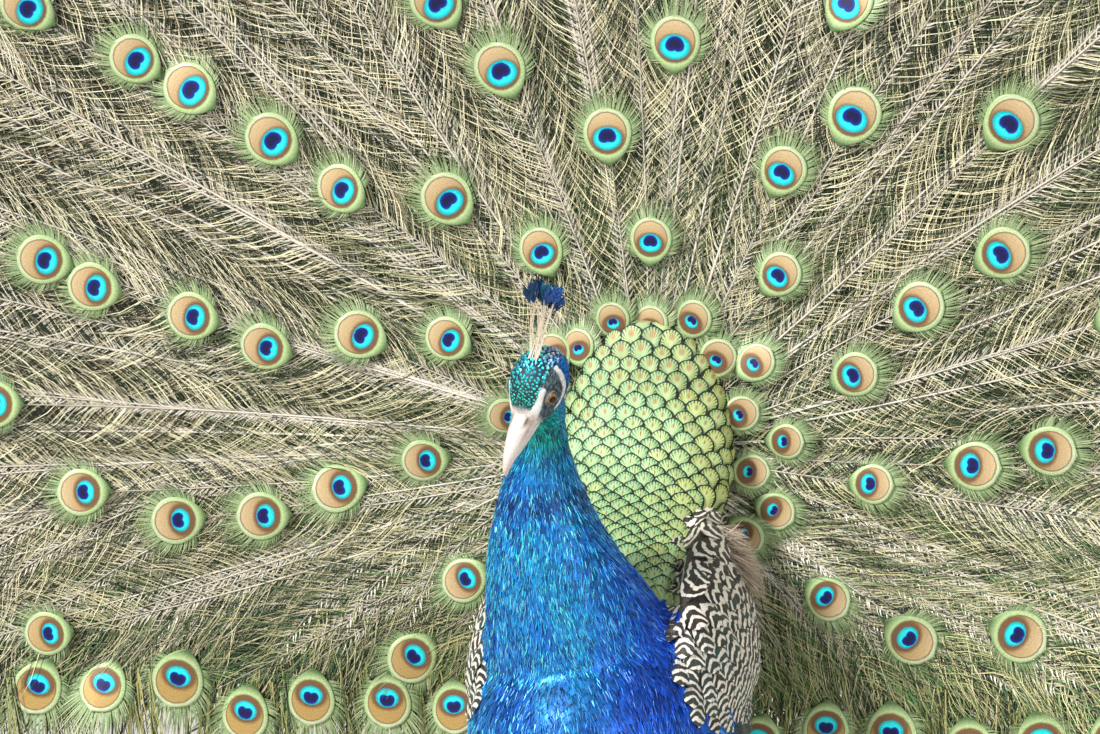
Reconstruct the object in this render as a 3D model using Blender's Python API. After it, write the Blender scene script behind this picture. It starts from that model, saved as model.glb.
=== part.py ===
"""A life-size Indian peacock in full display, standing, for a still museum model.

The bird faces -Y, its left side is +X, and its toes rest on z = 0. Lengths are in metres.
"""
import math

import bmesh
import bpy
import numpy as np
from mathutils import Euler, Matrix, Vector

# ---- driving dimensions -------------------------------------------------------------
GAP = 0.0003                    # clearance left between pieces that meet

TRUNK_STATIONS = [              # y, height of the widest level, half width, rise, drop
    (-0.194, 0.322, 0.034, 0.038, 0.032),
    (-0.172, 0.320, 0.066, 0.074, 0.058),
    (-0.130, 0.316, 0.096, 0.114, 0.080),
    (-0.060, 0.314, 0.114, 0.134, 0.088),
    (0.030, 0.326, 0.106, 0.130, 0.084),
    (0.100, 0.356, 0.078, 0.098, 0.076),
    (0.155, 0.384, 0.048, 0.060, 0.056),
]
NECK_STATIONS = [               # x, y, z, half width, half depth
    (-0.004, -0.066, 0.335, 0.094, 0.080),
    (-0.012, -0.100, 0.392, 0.080, 0.078),
    (-0.022, -0.128, 0.443, 0.0625, 0.062),
    (-0.029, -0.146, 0.490, 0.0475, 0.048),
    (-0.030, -0.158, 0.535, 0.0320, 0.036),
    (-0.026, -0.169, 0.572, 0.0205, 0.0250),
    (-0.022, -0.181, 0.598, 0.0175, 0.0200),
    (-0.020, -0.202, 0.612, 0.0140, 0.0150),
]
NECK_SPLIT = 0.492              # height at which the upper neck meets the lower neck

HEAD_CENTRE = Vector((-0.020, -0.205, 0.621))
HEAD_TURN = Euler((math.radians(57), math.radians(8), math.radians(-20)), "XYZ")
HEAD_STATIONS = [               # y, centre z, half width, rise, drop (head's own axes)
    (0.0260, 0.0020, 0.0140, 0.0120, 0.0120),
    (0.0140, 0.0015, 0.0202, 0.0200, 0.0185),
    (0.0000, 0.0010, 0.0225, 0.0235, 0.0210),
    (-0.0120, 0.0005, 0.0208, 0.0215, 0.0200),
    (-0.0230, -0.0010, 0.0164, 0.0165, 0.0165),
    (-0.0320, -0.0030, 0.0118, 0.0112, 0.0115),
]
EYE_RADIUS = 0.0066
EYE_PLACE = Vector((0.0152, -0.0110, 0.0050))
BILL_LENGTH = 0.0430            # from the forehead feathers to the tip
BILL_ROOT_Y = -0.0300
BILL_HALF_WIDTH = 0.0100
BILL_SPLIT_Z = -0.0068          # level of the mouth line
CREST_ROOT = Vector((0.0, 0.0100, 0.0235))
CREST_LENGTH = 0.060
CREST_LEAN = math.radians(62)   # how far the crest leans back from the crown
CREST_SPREAD = math.radians(46)
CREST_SHAFTS = 11
CREST_JOIN = 0.018              # the shafts are one solid up to this distance from their root

WING_STATIONS = [               # y, centre x, centre z, half thickness, half height
    (-0.122, 0.082, 0.378, 0.009, 0.026),
    (-0.092, 0.087, 0.388, 0.016, 0.052),
    (-0.030, 0.088, 0.404, 0.021, 0.072),
    (0.040, 0.084, 0.412, 0.020, 0.076),
    (0.088, 0.074, 0.408, 0.014, 0.058),
]
WING_TILT = math.radians(16)    # the wing leans in over the back
PRIMARIES = 8                   # long wing feathers that droop behind each wing
PRIMARY_ROOT = Vector((0.100, 0.016, 0.350))
PRIMARY_SPREAD = (math.radians(-64), math.radians(-104))
PRIMARY_LENGTH = (0.160, 0.225)
PRIMARY_THICK = 0.0020
PRIMARY_FLARE = 0.030           # how far their tips stand out from the body

FOOT_HALF_STANCE = 0.056        # from the middle plane to each foot
FOOT_Y = 0.014
ANKLE_Y = 0.050
ANKLE_Z = 0.150
HIP_Z = 0.275
SHANK_RADIUS = 0.0056
TOE_RADIUS = 0.0052
TOE_SWELL = 0.10                # how much each toe thickens at its pads
TOE_LENGTHS = {"inner": 0.056, "middle": 0.068, "outer": 0.052, "hind": 0.024}
TOE_ANGLES = {"inner": -30, "middle": 0, "outer": 32, "hind": 180}
CLAW_LENGTH = 0.013
CLAW_RADIUS = 0.0030            # at the root
CLAW_ARCH = 0.0042              # how far the claw's root sits above its tip
CLAW_CLEARANCE = 0.0005         # height of the claw tips above the ground

FAN_HUB = Vector((0.0, 0.130, 0.520))   # where the shafts of the train meet
FAN_INNER = 0.056               # radius of the train's inner edge
LOW_CLEARANCE = 0.140           # how much farther out the lowest feathers begin
FAN_RADIUS = 1.190              # radius of the longest feathers
FAN_LOW_Z = 0.285               # height of the train's lower edge at each side
FAN_BOW = 0.200                 # how far forward the tips arch
FAN_THICK = 0.0012
FAN_FLUTE = 0.0040              # each feather's shaft stands this far behind its vane
FAN_PERIOD = 8.00               # degrees between the longest feathers
FAN_FORK = 0.026                # depth of the fork in each fishtail tip
FAN_ROWS = 4
SECTORS = [                     # the train's wedges on each side, in degrees from straight up
    ("inner", 14.0, 42.0),
    ("middle", 42.0, 70.0),
    ("outer", 70.0, 98.0),
    ("low", 98.0, 158.0),
]

TAIL_HUB = Vector((0.0, 0.1405, 0.505))
TAIL_RADIUS = 0.420
TAIL_FEATHERS = 20
TAIL_LIMIT = 100.0              # degrees from straight up to the lowest tail feather
TAIL_NOTCH = 0.022              # depth of the notch between two tail feathers' tips
TAIL_THICK = 0.0014
RUMP_DROP = 0.036               # how far the undertail feathers slope down as they go back
RUMP_LENGTH = 0.075
RUMP_SETBACK = 0.0060           # the undertail begins this far behind the tail's hub
RUMP_STATIONS = [               # share of the length, half width, half height
    (0.0, 0.080, 0.082),
    (0.25, 0.078, 0.084),
    (0.6, 0.060, 0.072),
    (0.9, 0.034, 0.044),
]

MANTLE_SETBACK = 0.005          # clearance between the back of the mantle and the train's hub
MANTLE_FRONT_Y = -0.046         # where the mantle ends against the foot of the neck
MANTLE_STATIONS = [             # y, z of the front face, half width, thickness
    (-0.088, 0.418, 0.060, 0.014),
    (-0.030, 0.462, 0.070, 0.022),
    (0.028, 0.500, 0.076, 0.030),
    (0.068, 0.545, 0.080, 0.034),
    (0.092, 0.590, 0.065, 0.026),
    (0.104, 0.618, 0.047, 0.018),
    (0.111, 0.634, 0.026, 0.012),
]

COLOURS = {                     # base colour, roughness, metallic
    "blue_plumage": ((0.020, 0.160, 0.560, 1), 0.42, 0.15),
    "crown_plumage": ((0.020, 0.320, 0.420, 1), 0.40, 0.20),
    "horn": ((0.560, 0.480, 0.430, 1), 0.38, 0.0),
    "eye": ((0.120, 0.050, 0.020, 1), 0.08, 0.0),
    "crest_blue": ((0.010, 0.110, 0.260, 1), 0.45, 0.1),
    "scaled_green": ((0.330, 0.520, 0.190, 1), 0.45, 0.15),
    "barred": ((0.420, 0.380, 0.310, 1), 0.62, 0.0),
    "chestnut": ((0.360, 0.170, 0.080, 1), 0.62, 0.0),
    "dark_underparts": ((0.014, 0.028, 0.026, 1), 0.70, 0.0),
    "leg_scute": ((0.300, 0.260, 0.210, 1), 0.55, 0.0),
    "claw": ((0.070, 0.055, 0.045, 1), 0.40, 0.0),
    "train_green": ((0.260, 0.290, 0.150, 1), 0.60, 0.05),
    "tail_brown": ((0.210, 0.160, 0.110, 1), 0.68, 0.0),
}


# ---- helpers ------------------------------------------------------------------------
def clear_scene():
    for old in list(bpy.data.objects):
        bpy.data.objects.remove(old, do_unlink=True)


def collection(name):
    made = bpy.data.collections.new(name)
    bpy.context.scene.collection.children.link(made)
    return made


def material(name):
    found = bpy.data.materials.get(name)
    if found:
        return found
    colour, roughness, metallic = COLOURS[name]
    made = bpy.data.materials.new(name)
    made.use_nodes = True
    shader = made.node_tree.nodes["Principled BSDF"]
    shader.inputs["Base Color"].default_value = colour
    shader.inputs["Roughness"].default_value = roughness
    shader.inputs["Metallic"].default_value = metallic
    return made


def add_object(name, bm, finish, smooth=True):
    """Store a bmesh as an object of the bird, with its faces turned outward."""
    bmesh.ops.recalc_face_normals(bm, faces=bm.faces)
    mesh = bpy.data.meshes.new(name)
    bm.to_mesh(mesh)
    bm.free()
    if smooth:
        mesh.shade_smooth()
        mesh.set_sharp_from_angle(angle=math.radians(50))
    made = bpy.data.objects.new(name, mesh)
    made.data.materials.append(material(finish))
    BIRD.objects.link(made)
    return made


def smooth_rows(rows, steps):
    """Put (steps) rows between each pair of stations, on a Catmull-Rom curve through them."""
    table = np.array([list(row) for row in rows], dtype=float)
    padded = np.vstack([2 * table[0] - table[1], table, 2 * table[-1] - table[-2]])
    found = []
    for i in range(len(table) - 1):
        a, b, c, d = padded[i:i + 4]
        for step in range(steps):
            t = step / steps
            found.append(0.5 * (2 * b + (c - a) * t + (2 * a - 5 * b + 4 * c - d) * t ** 2
                                + (3 * b - a - 3 * c + d) * t ** 3))
    found.append(table[-1])
    return np.array(found)


def oval(centre, side, up, half_width, rise, drop, sides):
    """One ring of points; the part above the centre is (rise) high and the part below (drop)."""
    points = []
    for i in range(sides):
        turn = 2 * math.pi * i / sides
        high = math.sin(turn)
        reach = rise if high > 0 else drop
        points.append(centre + side * (math.cos(turn) * half_width) + up * (high * reach))
    return points


def loft(rings, domes=(0.0, 0.0)):
    """A closed skin over the rings. Each end closes on a point pushed out by its dome height."""
    bm = bmesh.new()
    rows = [[bm.verts.new(p) for p in ring] for ring in rings]
    count = len(rings[0])
    for low, high in zip(rows, rows[1:]):
        for i in range(count):
            j = (i + 1) % count
            bm.faces.new((low[i], low[j], high[j], high[i]))
    ends = ((rings[0], rings[1], rows[0], domes[0]), (rings[-1], rings[-2], rows[-1], domes[1]))
    for ring, inner, row, dome in ends:
        middle = sum(ring, Vector()) / count
        outward = (middle - sum(inner, Vector()) / count).normalized()
        pole = bm.verts.new(middle + outward * dome)
        for i in range(count):
            bm.faces.new((row[i], row[(i + 1) % count], pole))
    bmesh.ops.recalc_face_normals(bm, faces=bm.faces)
    return bm


def cutter(name, bm):
    mesh = bpy.data.meshes.new(name)
    bm.to_mesh(mesh)
    bm.free()
    made = bpy.data.objects.new(name, mesh)
    made.hide_render = True
    made.display_type = "WIRE"
    CUTTERS.objects.link(made)
    return made


def combine(piece, other, operation="DIFFERENCE"):
    step = piece.modifiers.new(operation.lower(), "BOOLEAN")
    step.operation = operation
    step.object = other
    step.solver = "EXACT"


def apply_modifiers(piece):
    """Turn the piece's evaluated shape into its own mesh."""
    bpy.context.view_layer.update()
    shape = bpy.data.meshes.new_from_object(piece.evaluated_get(bpy.context.evaluated_depsgraph_get()))
    piece.modifiers.clear()
    piece.data = shape


def keep_side(piece, point, normal):
    """Cut the piece by a plane and keep what lies on the side the normal points to."""
    bm = bmesh.new()
    bm.from_mesh(piece.data)
    whole = bm.verts[:] + bm.edges[:] + bm.faces[:]
    bmesh.ops.bisect_plane(bm, geom=whole, plane_co=point, plane_no=normal, clear_inner=True)
    bmesh.ops.holes_fill(bm, edges=[e for e in bm.edges if e.is_boundary])
    bmesh.ops.recalc_face_normals(bm, faces=bm.faces)
    bm.to_mesh(piece.data)
    bm.free()


def keep_largest(piece):
    """Drop the small offcuts that trimming can leave beside the main body."""
    bm = bmesh.new()
    bm.from_mesh(piece.data)
    unseen = set(bm.faces)
    bodies = []
    while unseen:
        body = [unseen.pop()]
        for face in body:
            for edge in face.edges:
                for other in edge.link_faces:
                    if other in unseen:
                        unseen.remove(other)
                        body.append(other)
        bodies.append(body)
    bodies.sort(key=lambda body: sum(face.calc_area() for face in body))
    extra = [face for body in bodies[:-1] for face in body]
    bmesh.ops.delete(bm, geom=extra, context="FACES")
    bm.to_mesh(piece.data)
    bm.free()


def mirrored(bm, side):
    """Flip a bmesh to the bird's right when the side is -1."""
    if side < 0:
        bmesh.ops.scale(bm, vec=(-1, 1, 1), verts=bm.verts)
        bmesh.ops.reverse_faces(bm, faces=bm.faces)
    return bm


def centre_on_origin():
    """Move everything along Y so that the middle of the bird's box is over the origin."""
    bpy.context.view_layer.update()
    depsgraph = bpy.context.evaluated_depsgraph_get()
    reach = []
    for piece in BIRD.objects:
        mesh = piece.evaluated_get(depsgraph).to_mesh()
        reach += [vertex.co.y for vertex in mesh.vertices]
    middle = (min(reach) + max(reach)) / 2
    for thing in list(BIRD.objects) + list(CUTTERS.objects):
        thing.location.y -= middle
    print("moved along Y by %.4f" % -middle)


SIDES = {"left": 1, "right": -1}


# ---- trunk and neck -----------------------------------------------------------------
def trunk_shape(grow=0.0):
    rings = []
    for y, z, half_width, rise, drop in smooth_rows(TRUNK_STATIONS, 2):
        rings.append(oval(Vector((0, y, z)), Vector((1, 0, 0)), Vector((0, 0, 1)), half_width + grow,
                          rise + grow, drop + grow, 22))
    return loft(rings, domes=(0.006 + grow, 0.030 + grow))


def neck_shape(grow=0.0):
    rows = smooth_rows(NECK_STATIONS, 2)
    rings = []
    for i, (x, y, z, half_width, half_depth) in enumerate(rows):
        before, after = rows[max(i - 1, 0)], rows[min(i + 1, len(rows) - 1)]
        along = (Vector(after[:3]) - Vector(before[:3])).normalized()
        side = Vector((1, 0, 0)) - along * along.x
        side.normalize()
        front = along.cross(side)
        rings.append(oval(Vector((x, y, z)), side, front, half_width + grow, half_depth + grow,
                          half_depth + grow, 18))
    return loft(rings)


def build_trunk_and_neck():
    add_object("trunk", trunk_shape(), "blue_plumage")
    body = cutter("trunk_cutter", trunk_shape(GAP))
    head = cutter("head_cutter", head_shape(GAP))
    for name, normal in (("neck_lower", Vector((0, 0, -1))), ("neck_upper", Vector((0, 0, 1)))):
        piece = add_object(name, neck_shape(), "blue_plumage")
        combine(piece, body)
        combine(piece, head)
        apply_modifiers(piece)
        keep_side(piece, Vector((0, 0, NECK_SPLIT)) + normal * GAP / 2, normal)
        piece.data.shade_smooth()
        piece.data.set_sharp_from_angle(angle=math.radians(50))


# ---- head ---------------------------------------------------------------------------
def head_frame():
    return Matrix.Translation(HEAD_CENTRE) @ HEAD_TURN.to_matrix().to_4x4()


def placed_on_head(bm):
    bmesh.ops.transform(bm, matrix=head_frame(), verts=bm.verts)
    return bm


def head_shape(grow=0.0):
    rings = []
    for y, z, half_width, rise, drop in smooth_rows(HEAD_STATIONS, 2):
        rings.append(oval(Vector((0, y, z)), Vector((1, 0, 0)), Vector((0, 0, 1)), half_width + grow,
                          rise + grow, drop + grow, 16))
    return placed_on_head(loft(rings, domes=(0.0060 + grow, 0.0030 + grow)))


def eye_shape(side, radius):
    bm = bmesh.new()
    bmesh.ops.create_uvsphere(bm, u_segments=12, v_segments=8, radius=radius)
    bmesh.ops.rotate(bm, verts=bm.verts, cent=(0, 0, 0), matrix=Matrix.Rotation(math.pi / 2, 3, "Y"))
    bmesh.ops.translate(bm, verts=bm.verts, vec=Vector((EYE_PLACE.x * side, EYE_PLACE.y, EYE_PLACE.z)))
    return placed_on_head(bm)


def build_head():
    head = add_object("head", head_shape(), "crown_plumage")
    for word, side in SIDES.items():
        add_object("eye_" + word, eye_shape(side, EYE_RADIUS), "eye")
        combine(head, cutter("socket_" + word, eye_shape(side, EYE_RADIUS + GAP)))


def bill_rings(upper, grow=0.0):
    """Rings of one half of the bill, from inside the face to the tip."""
    rings = []
    steps = 7
    length = BILL_LENGTH if upper else BILL_LENGTH - 0.007
    for i in range(steps + 1):
        t = i / steps
        y = BILL_ROOT_Y + 0.010 - (length + 0.010) * t
        taper = math.sqrt(max(1 - t ** 1.7, 0.0))
        half_width = BILL_HALF_WIDTH * (0.10 + 0.90 * taper) * (1.0 if upper else 0.92)
        if upper:
            top = BILL_SPLIT_Z + 0.0012 + 0.0125 * taper - 0.0035 * t ** 3
            low = BILL_SPLIT_Z + GAP / 2 - 0.0052 * t ** 6
            middle, rise, drop = low + 0.3 * (top - low), 0.7 * (top - low), 0.3 * (top - low)
        else:
            top = BILL_SPLIT_Z - GAP / 2
            low = top - 0.0012 - 0.0050 * taper
            middle, rise, drop = top - 0.3 * (top - low), 0.3 * (top - low), 0.7 * (top - low)
        rings.append(oval(Vector((0, y, middle)), Vector((1, 0, 0)), Vector((0, 0, 1)), half_width + grow,
                          rise + grow, drop + grow, 12))
    return rings


def build_bill():
    face = bpy.data.objects["head_cutter"]
    for name, upper in (("bill_upper", True), ("bill_lower", False)):
        piece = add_object(name, placed_on_head(loft(bill_rings(upper), domes=(0.0, 0.0008))), "horn")
        combine(piece, face)
        if not upper:
            combine(piece, cutter("bill_cutter", placed_on_head(loft(bill_rings(True, GAP)))))


def build_crest():
    """A fan of bare shafts on the crown, each ending in a spade-shaped tip."""
    lean = Matrix.Rotation(-CREST_LEAN, 3, "X")
    bm = bmesh.new()
    outline = []
    for i in range(CREST_SHAFTS):
        turn = CREST_SPREAD * (i / (CREST_SHAFTS - 1) - 0.5)
        along = Vector((0, -math.sin(turn), math.cos(turn)))
        across = Vector((0, -math.cos(turn), -math.sin(turn)))
        length = CREST_LENGTH * (1 - 0.10 * (i % 3) / 2)
        for distance, half in ((CREST_JOIN, -0.0006), (length * 0.78, -0.0005), (length * 0.88, -0.0016),
                               (length, 0.0), (length * 0.88, 0.0016), (length * 0.78, 0.0005),
                               (CREST_JOIN, 0.0006)):
            outline.append(along * distance + across * half)
    outline = [Vector((0, 0.0030, 0))] + outline + [Vector((0, -0.0030, 0))]
    half_thick = Vector((0.0006, 0, 0))
    front = [bm.verts.new(CREST_ROOT + lean @ (p - half_thick)) for p in outline]
    back = [bm.verts.new(CREST_ROOT + lean @ (p + half_thick)) for p in outline]
    bm.faces.new(front)
    bm.faces.new(list(reversed(back)))
    for i in range(len(outline)):
        j = (i + 1) % len(outline)
        bm.faces.new((front[j], front[i], back[i], back[j]))
    piece = add_object("crest", placed_on_head(bm), "crest_blue", smooth=False)
    combine(piece, bpy.data.objects["head_cutter"])


# ---- wings --------------------------------------------------------------------------
def wing_shape(side, grow=0.0):
    rings = []
    for y, x, z, half_thick, half_height in smooth_rows(WING_STATIONS, 2):
        outward = Vector((math.cos(WING_TILT), 0, math.sin(WING_TILT)))
        up = Vector((-math.sin(WING_TILT), 0, math.cos(WING_TILT)))
        rings.append(oval(Vector((x, y, z)), outward, up, half_thick + grow, half_height + grow,
                          half_height + grow, 16))
    return mirrored(loft(rings, domes=(0.006 + grow, 0.010 + grow)), side)


def primary_outline():
    """The drooped fan of long wing feathers, in its own plane: along the wing and down."""
    points = [Vector((0, -0.012, 0.018)), Vector((0, -0.034, -0.006))]
    first, last = PRIMARY_SPREAD
    for i in range(PRIMARIES):
        share = i / (PRIMARIES - 1)
        turn = last + (first - last) * share
        length = PRIMARY_LENGTH[0] + (PRIMARY_LENGTH[1] - PRIMARY_LENGTH[0]) * share
        half = abs(last - first) / (PRIMARIES - 1) / 2
        for offset, reach in ((-0.92, 0.90), (-0.10, 1.0), (0.80, 0.94)):
            a = turn + offset * half
            points.append(Vector((0, math.cos(a), math.sin(a))) * length * reach)
    points.append(Vector((0, 0.030, 0.030)))
    return points


def build_wings():
    trunk = bpy.data.objects["trunk_cutter"]
    neck = cutter("neck_cutter", neck_shape(GAP))
    for word, side in SIDES.items():
        wing = add_object("wing_" + word, wing_shape(side), "barred")
        combine(wing, trunk)
        combine(wing, neck)
        apply_modifiers(wing)
        wing_cutter = cutter("wing_cutter_" + word, wing_shape(side, GAP))
        bm = bmesh.new()
        flat = primary_outline()
        sheets = []
        for offset in (-PRIMARY_THICK / 2, PRIMARY_THICK / 2):
            sheet = []
            for p in flat:
                reach = p.length / PRIMARY_LENGTH[1]
                outward = PRIMARY_FLARE * reach ** 2 + offset
                sheet.append(bm.verts.new(PRIMARY_ROOT + p + Vector((outward, 0, 0))))
            sheets.append(sheet)
        centre = []
        for offset in (-PRIMARY_THICK / 2, PRIMARY_THICK / 2):
            centre.append(bm.verts.new(PRIMARY_ROOT + Vector((offset, 0, 0))))
        count = len(flat)
        for i in range(count):
            j = (i + 1) % count
            bm.faces.new((sheets[0][i], sheets[0][j], centre[0]))
            bm.faces.new((sheets[1][j], sheets[1][i], centre[1]))
            bm.faces.new((sheets[0][j], sheets[0][i], sheets[1][i], sheets[1][j]))
        quills = add_object("primaries_" + word, mirrored(bm, side), "chestnut", smooth=False)
        combine(quills, trunk)
        combine(quills, wing_cutter)
        apply_modifiers(quills)


# ---- legs ---------------------------------------------------------------------------
def thigh_shape(side):
    x = FOOT_HALF_STANCE * side
    rows = smooth_rows([
        (x, -0.006, HIP_Z, 0.038, 0.048),
        (x, 0.008, 0.235, 0.031, 0.040),
        (x, 0.028, 0.195, 0.020, 0.026),
        (x, ANKLE_Y - 0.002, ANKLE_Z + 0.012, 0.0095, 0.0115)], 2)
    rings = []
    for row in rows:
        rings.append(oval(Vector(row[:3]), Vector((1, 0, 0)), Vector((0, 1, 0)), row[3], row[4], row[4], 12))
    return loft(rings)


def shank_shape(side):
    """The bare scaled shank, from the ankle down to the top of the foot, with its spur."""
    x = FOOT_HALF_STANCE * side
    top = Vector((x, ANKLE_Y - 0.001, ANKLE_Z + 0.012 - GAP))
    rows = [(0.0, 0.0080), (0.10, 0.0088), (0.22, 0.0064), (0.60, SHANK_RADIUS), (0.92, SHANK_RADIUS),
            (1.0, 0.0062)]
    foot = Vector((x, FOOT_Y + 0.002, 2 * TOE_RADIUS * (1 + TOE_SWELL) + GAP))
    rings = []
    for share, radius in rows:
        centre = top.lerp(foot, share)
        rings.append(oval(centre, Vector((1, 0, 0)), Vector((0, 1, 0)), radius * 0.86, radius, radius, 10))
    return loft(rings)


def spur_shape(side):
    x = FOOT_HALF_STANCE * side
    start = Vector((x, FOOT_Y + 0.012, 0.062))
    rings = []
    for share in (0.0, 0.4, 0.75, 1.0):
        radius = 0.0036 * (1 - 0.82 * share)
        centre = start + Vector((0, 0.020 * share, -0.006 * share + 0.010 * share ** 2))
        rings.append(oval(centre, Vector((1, 0, 0)), Vector((0, 0, 1)), radius, radius, radius, 7))
    return loft(rings, domes=(0.0, 0.001))


def toe_point(side, toe, distance, height):
    turn = math.radians(TOE_ANGLES[toe]) * side
    x = FOOT_HALF_STANCE * side + math.sin(turn) * distance
    return Vector((x, FOOT_Y - math.cos(turn) * distance, height))


def flat_oval(centre, side_axis, half_width, height, sides=8):
    """A toe's section: round above and cut flat where it rests on the ground."""
    points = []
    for i in range(sides):
        turn = 2 * math.pi * (i + 0.5) / sides
        z = max(height * 0.5 + math.sin(turn) * height * 0.60, 0.0)
        points.append(Vector((centre.x, centre.y, 0)) + side_axis * (math.cos(turn) * half_width)
                      + Vector((0, 0, min(z, height))))
    return points


def build_legs():
    trunk = bpy.data.objects["trunk_cutter"]
    for word, side in SIDES.items():
        thigh = add_object("thigh_" + word, thigh_shape(side), "dark_underparts")
        combine(thigh, trunk)
        apply_modifiers(thigh)
        shank = add_object("shank_" + word, shank_shape(side), "leg_scute")
        spur = cutter("spur_" + word, spur_shape(side))
        combine(shank, spur, "UNION")
        apply_modifiers(shank)
        foot = None
        for toe, length in TOE_LENGTHS.items():
            turn = math.radians(TOE_ANGLES[toe]) * side
            across = Vector((math.cos(turn), math.sin(turn), 0))
            rings = []
            for share in (-0.06, 0.25, 0.62, 1.0):
                swell = 1.0 + TOE_SWELL * math.cos(share * 4 * math.pi)
                radius = TOE_RADIUS * (1.0 - 0.34 * max(share, 0)) * swell
                rings.append(flat_oval(toe_point(side, toe, length * share, 0), across, radius, radius * 2))
            shape = loft(rings)
            if foot is None:
                foot = add_object("foot_" + word, shape, "leg_scute")
            else:
                combine(foot, cutter("toe_%s_%s" % (toe, word), shape), "UNION")
            build_claw(word, side, toe, length, across)
        apply_modifiers(foot)


def build_claw(word, side, toe, length, across):
    rings = []
    for share in (0.0, 0.5, 1.0):
        centre = toe_point(side, toe, length + GAP + CLAW_LENGTH * share, 0)
        radius = CLAW_RADIUS * (1 - 0.80 * share)
        centre.z = CLAW_CLEARANCE + CLAW_ARCH * (1 - share) + radius
        rings.append(oval(centre, across, Vector((0, 0, 1)), radius, radius, radius, 6))
    add_object("claw_%s_%s" % (toe, word), loft(rings), "claw")


# ---- train, tail and mantle ---------------------------------------------------------
def fan_edge(angle):
    """Radius of the train's outer edge at this angle from straight up."""
    drop = -math.cos(math.radians(angle))
    if drop <= 0:
        return FAN_RADIUS
    low = (FAN_HUB.z - FAN_LOW_Z) / drop
    return (low ** -8 + FAN_RADIUS ** -8) ** (-1 / 8)


def fan_start(angle):
    """Radius of the train's inner edge; the lowest feathers start outside the trunk."""
    return FAN_INNER + LOW_CLEARANCE * max((abs(angle) - 118.0) / 40.0, 0.0)


def fan_point(angle, radius, back=0.0):
    turn = math.radians(angle)
    forward = FAN_BOW * (radius / FAN_RADIUS) ** 2
    return Vector((radius * math.sin(turn), FAN_HUB.y - forward + back, FAN_HUB.z + radius * math.cos(turn)))


def sheet_body(columns, rows, place):
    """A closed thin sheet: place(column, row, back) gives the points of its two faces.

    Both faces are split along the same diagonals, so the sheet is equally thick all over.
    """
    bm = bmesh.new()
    faces = []
    for back in (False, True):
        faces.append([[bm.verts.new(place(c, r, back)) for r in range(rows)] for c in range(columns)])
    front, rear = faces
    for c in range(columns - 1):
        for r in range(rows - 1):
            for side in (front, rear):
                bm.faces.new((side[c][r], side[c + 1][r], side[c + 1][r + 1]))
                bm.faces.new((side[c][r], side[c + 1][r + 1], side[c][r + 1]))
    for c in range(columns - 1):
        for r in (0, rows - 1):
            bm.faces.new((front[c][r], front[c + 1][r], rear[c + 1][r], rear[c][r]))
    for r in range(rows - 1):
        for c in (0, columns - 1):
            bm.faces.new((front[c][r], front[c][r + 1], rear[c][r + 1], rear[c][r]))
    return bm


def build_sector(name, low, high):
    """A wedge of the train, fluted once for each of its longest feathers, with forked tips."""
    inset = 0.03                # degrees kept clear at each side
    feathers = max(round((high - low) / FAN_PERIOD), 1)
    columns = feathers * 4 + 1

    def place(column, row, back):
        share = column / (columns - 1)
        angle = low + inset + (high - low - 2 * inset) * share
        phase = (column % 4) / 4
        shaft = 0.5 - 0.5 * math.cos(2 * math.pi * phase)
        edge = fan_edge(angle)
        fork = FAN_FORK * (shaft - 0.4) if edge > 0.9 * FAN_RADIUS else FAN_FORK * 0.5 * (0.6 - shaft)
        if column % 4 == 0:
            fork = FAN_FORK * 0.55
        outer = edge - fork
        reach = (row / (FAN_ROWS - 1)) ** 1.5
        start = fan_start(angle)
        radius = start + (outer - start) * reach
        flute = FAN_FLUTE * shaft * min(radius / 0.5, 1.0)
        return fan_point(angle, radius, flute + (FAN_THICK if back else 0.0))

    add_object(name, sheet_body(columns, FAN_ROWS, place), "train_green", smooth=False)


def build_train():
    build_sector("train_top", -14.0, 14.0)
    for word, low, high in SECTORS:
        build_sector("train_%s_left" % word, low, high)
        build_sector("train_%s_right" % word, -high, -low)


def build_tail():
    """The twenty stiff true tail feathers, raised in a smaller fan behind the train."""
    columns = TAIL_FEATHERS * 3 + 1
    rows = 3

    def place(column, row, back):
        angle = TAIL_LIMIT * (2 * column / (columns - 1) - 1)
        shaft = 0.75 if column % 3 else 0.0
        outer = TAIL_RADIUS * (1 - 0.10 * abs(angle / TAIL_LIMIT)) - TAIL_NOTCH * (1 - shaft)
        radius = FAN_INNER + (outer - FAN_INNER) * row / (rows - 1)
        forward = FAN_BOW * (radius / FAN_RADIUS) ** 2
        turn = math.radians(angle)
        y = TAIL_HUB.y - forward + FAN_FLUTE * shaft + (TAIL_THICK if back else 0.0)
        return Vector((radius * math.sin(turn), y, TAIL_HUB.z + radius * math.cos(turn)))

    add_object("tail", sheet_body(columns, rows, place), "tail_brown", smooth=False)


def build_mantle():
    """The scaled back, which rises from between the wings to cover the roots of the train."""
    rows = smooth_rows(MANTLE_STATIONS, 2)
    rings = []
    for i, (y, z, half_width, thick) in enumerate(rows):
        before, after = rows[max(i - 1, 0)], rows[min(i + 1, len(rows) - 1)]
        along = Vector((0, after[0] - before[0], after[1] - before[1])).normalized()
        outward = along.cross(Vector((1, 0, 0)))
        if outward.y > 0:
            outward = -outward
        middle = Vector((0, y, z)) - outward * thick
        rings.append(oval(middle, Vector((1, 0, 0)), outward, half_width, thick, thick * 1.4, 16))
    piece = add_object("mantle", loft(rings, domes=(0.004, 0.008)), "scaled_green")
    for name in ("trunk_cutter", "neck_cutter", "wing_cutter_left", "wing_cutter_right"):
        combine(piece, bpy.data.objects[name])
    apply_modifiers(piece)
    keep_side(piece, Vector((0, FAN_HUB.y - MANTLE_SETBACK, 0)), Vector((0, -1, 0)))
    keep_side(piece, Vector((0, MANTLE_FRONT_Y, 0)), Vector((0, 1, 0)))
    keep_largest(piece)


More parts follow.
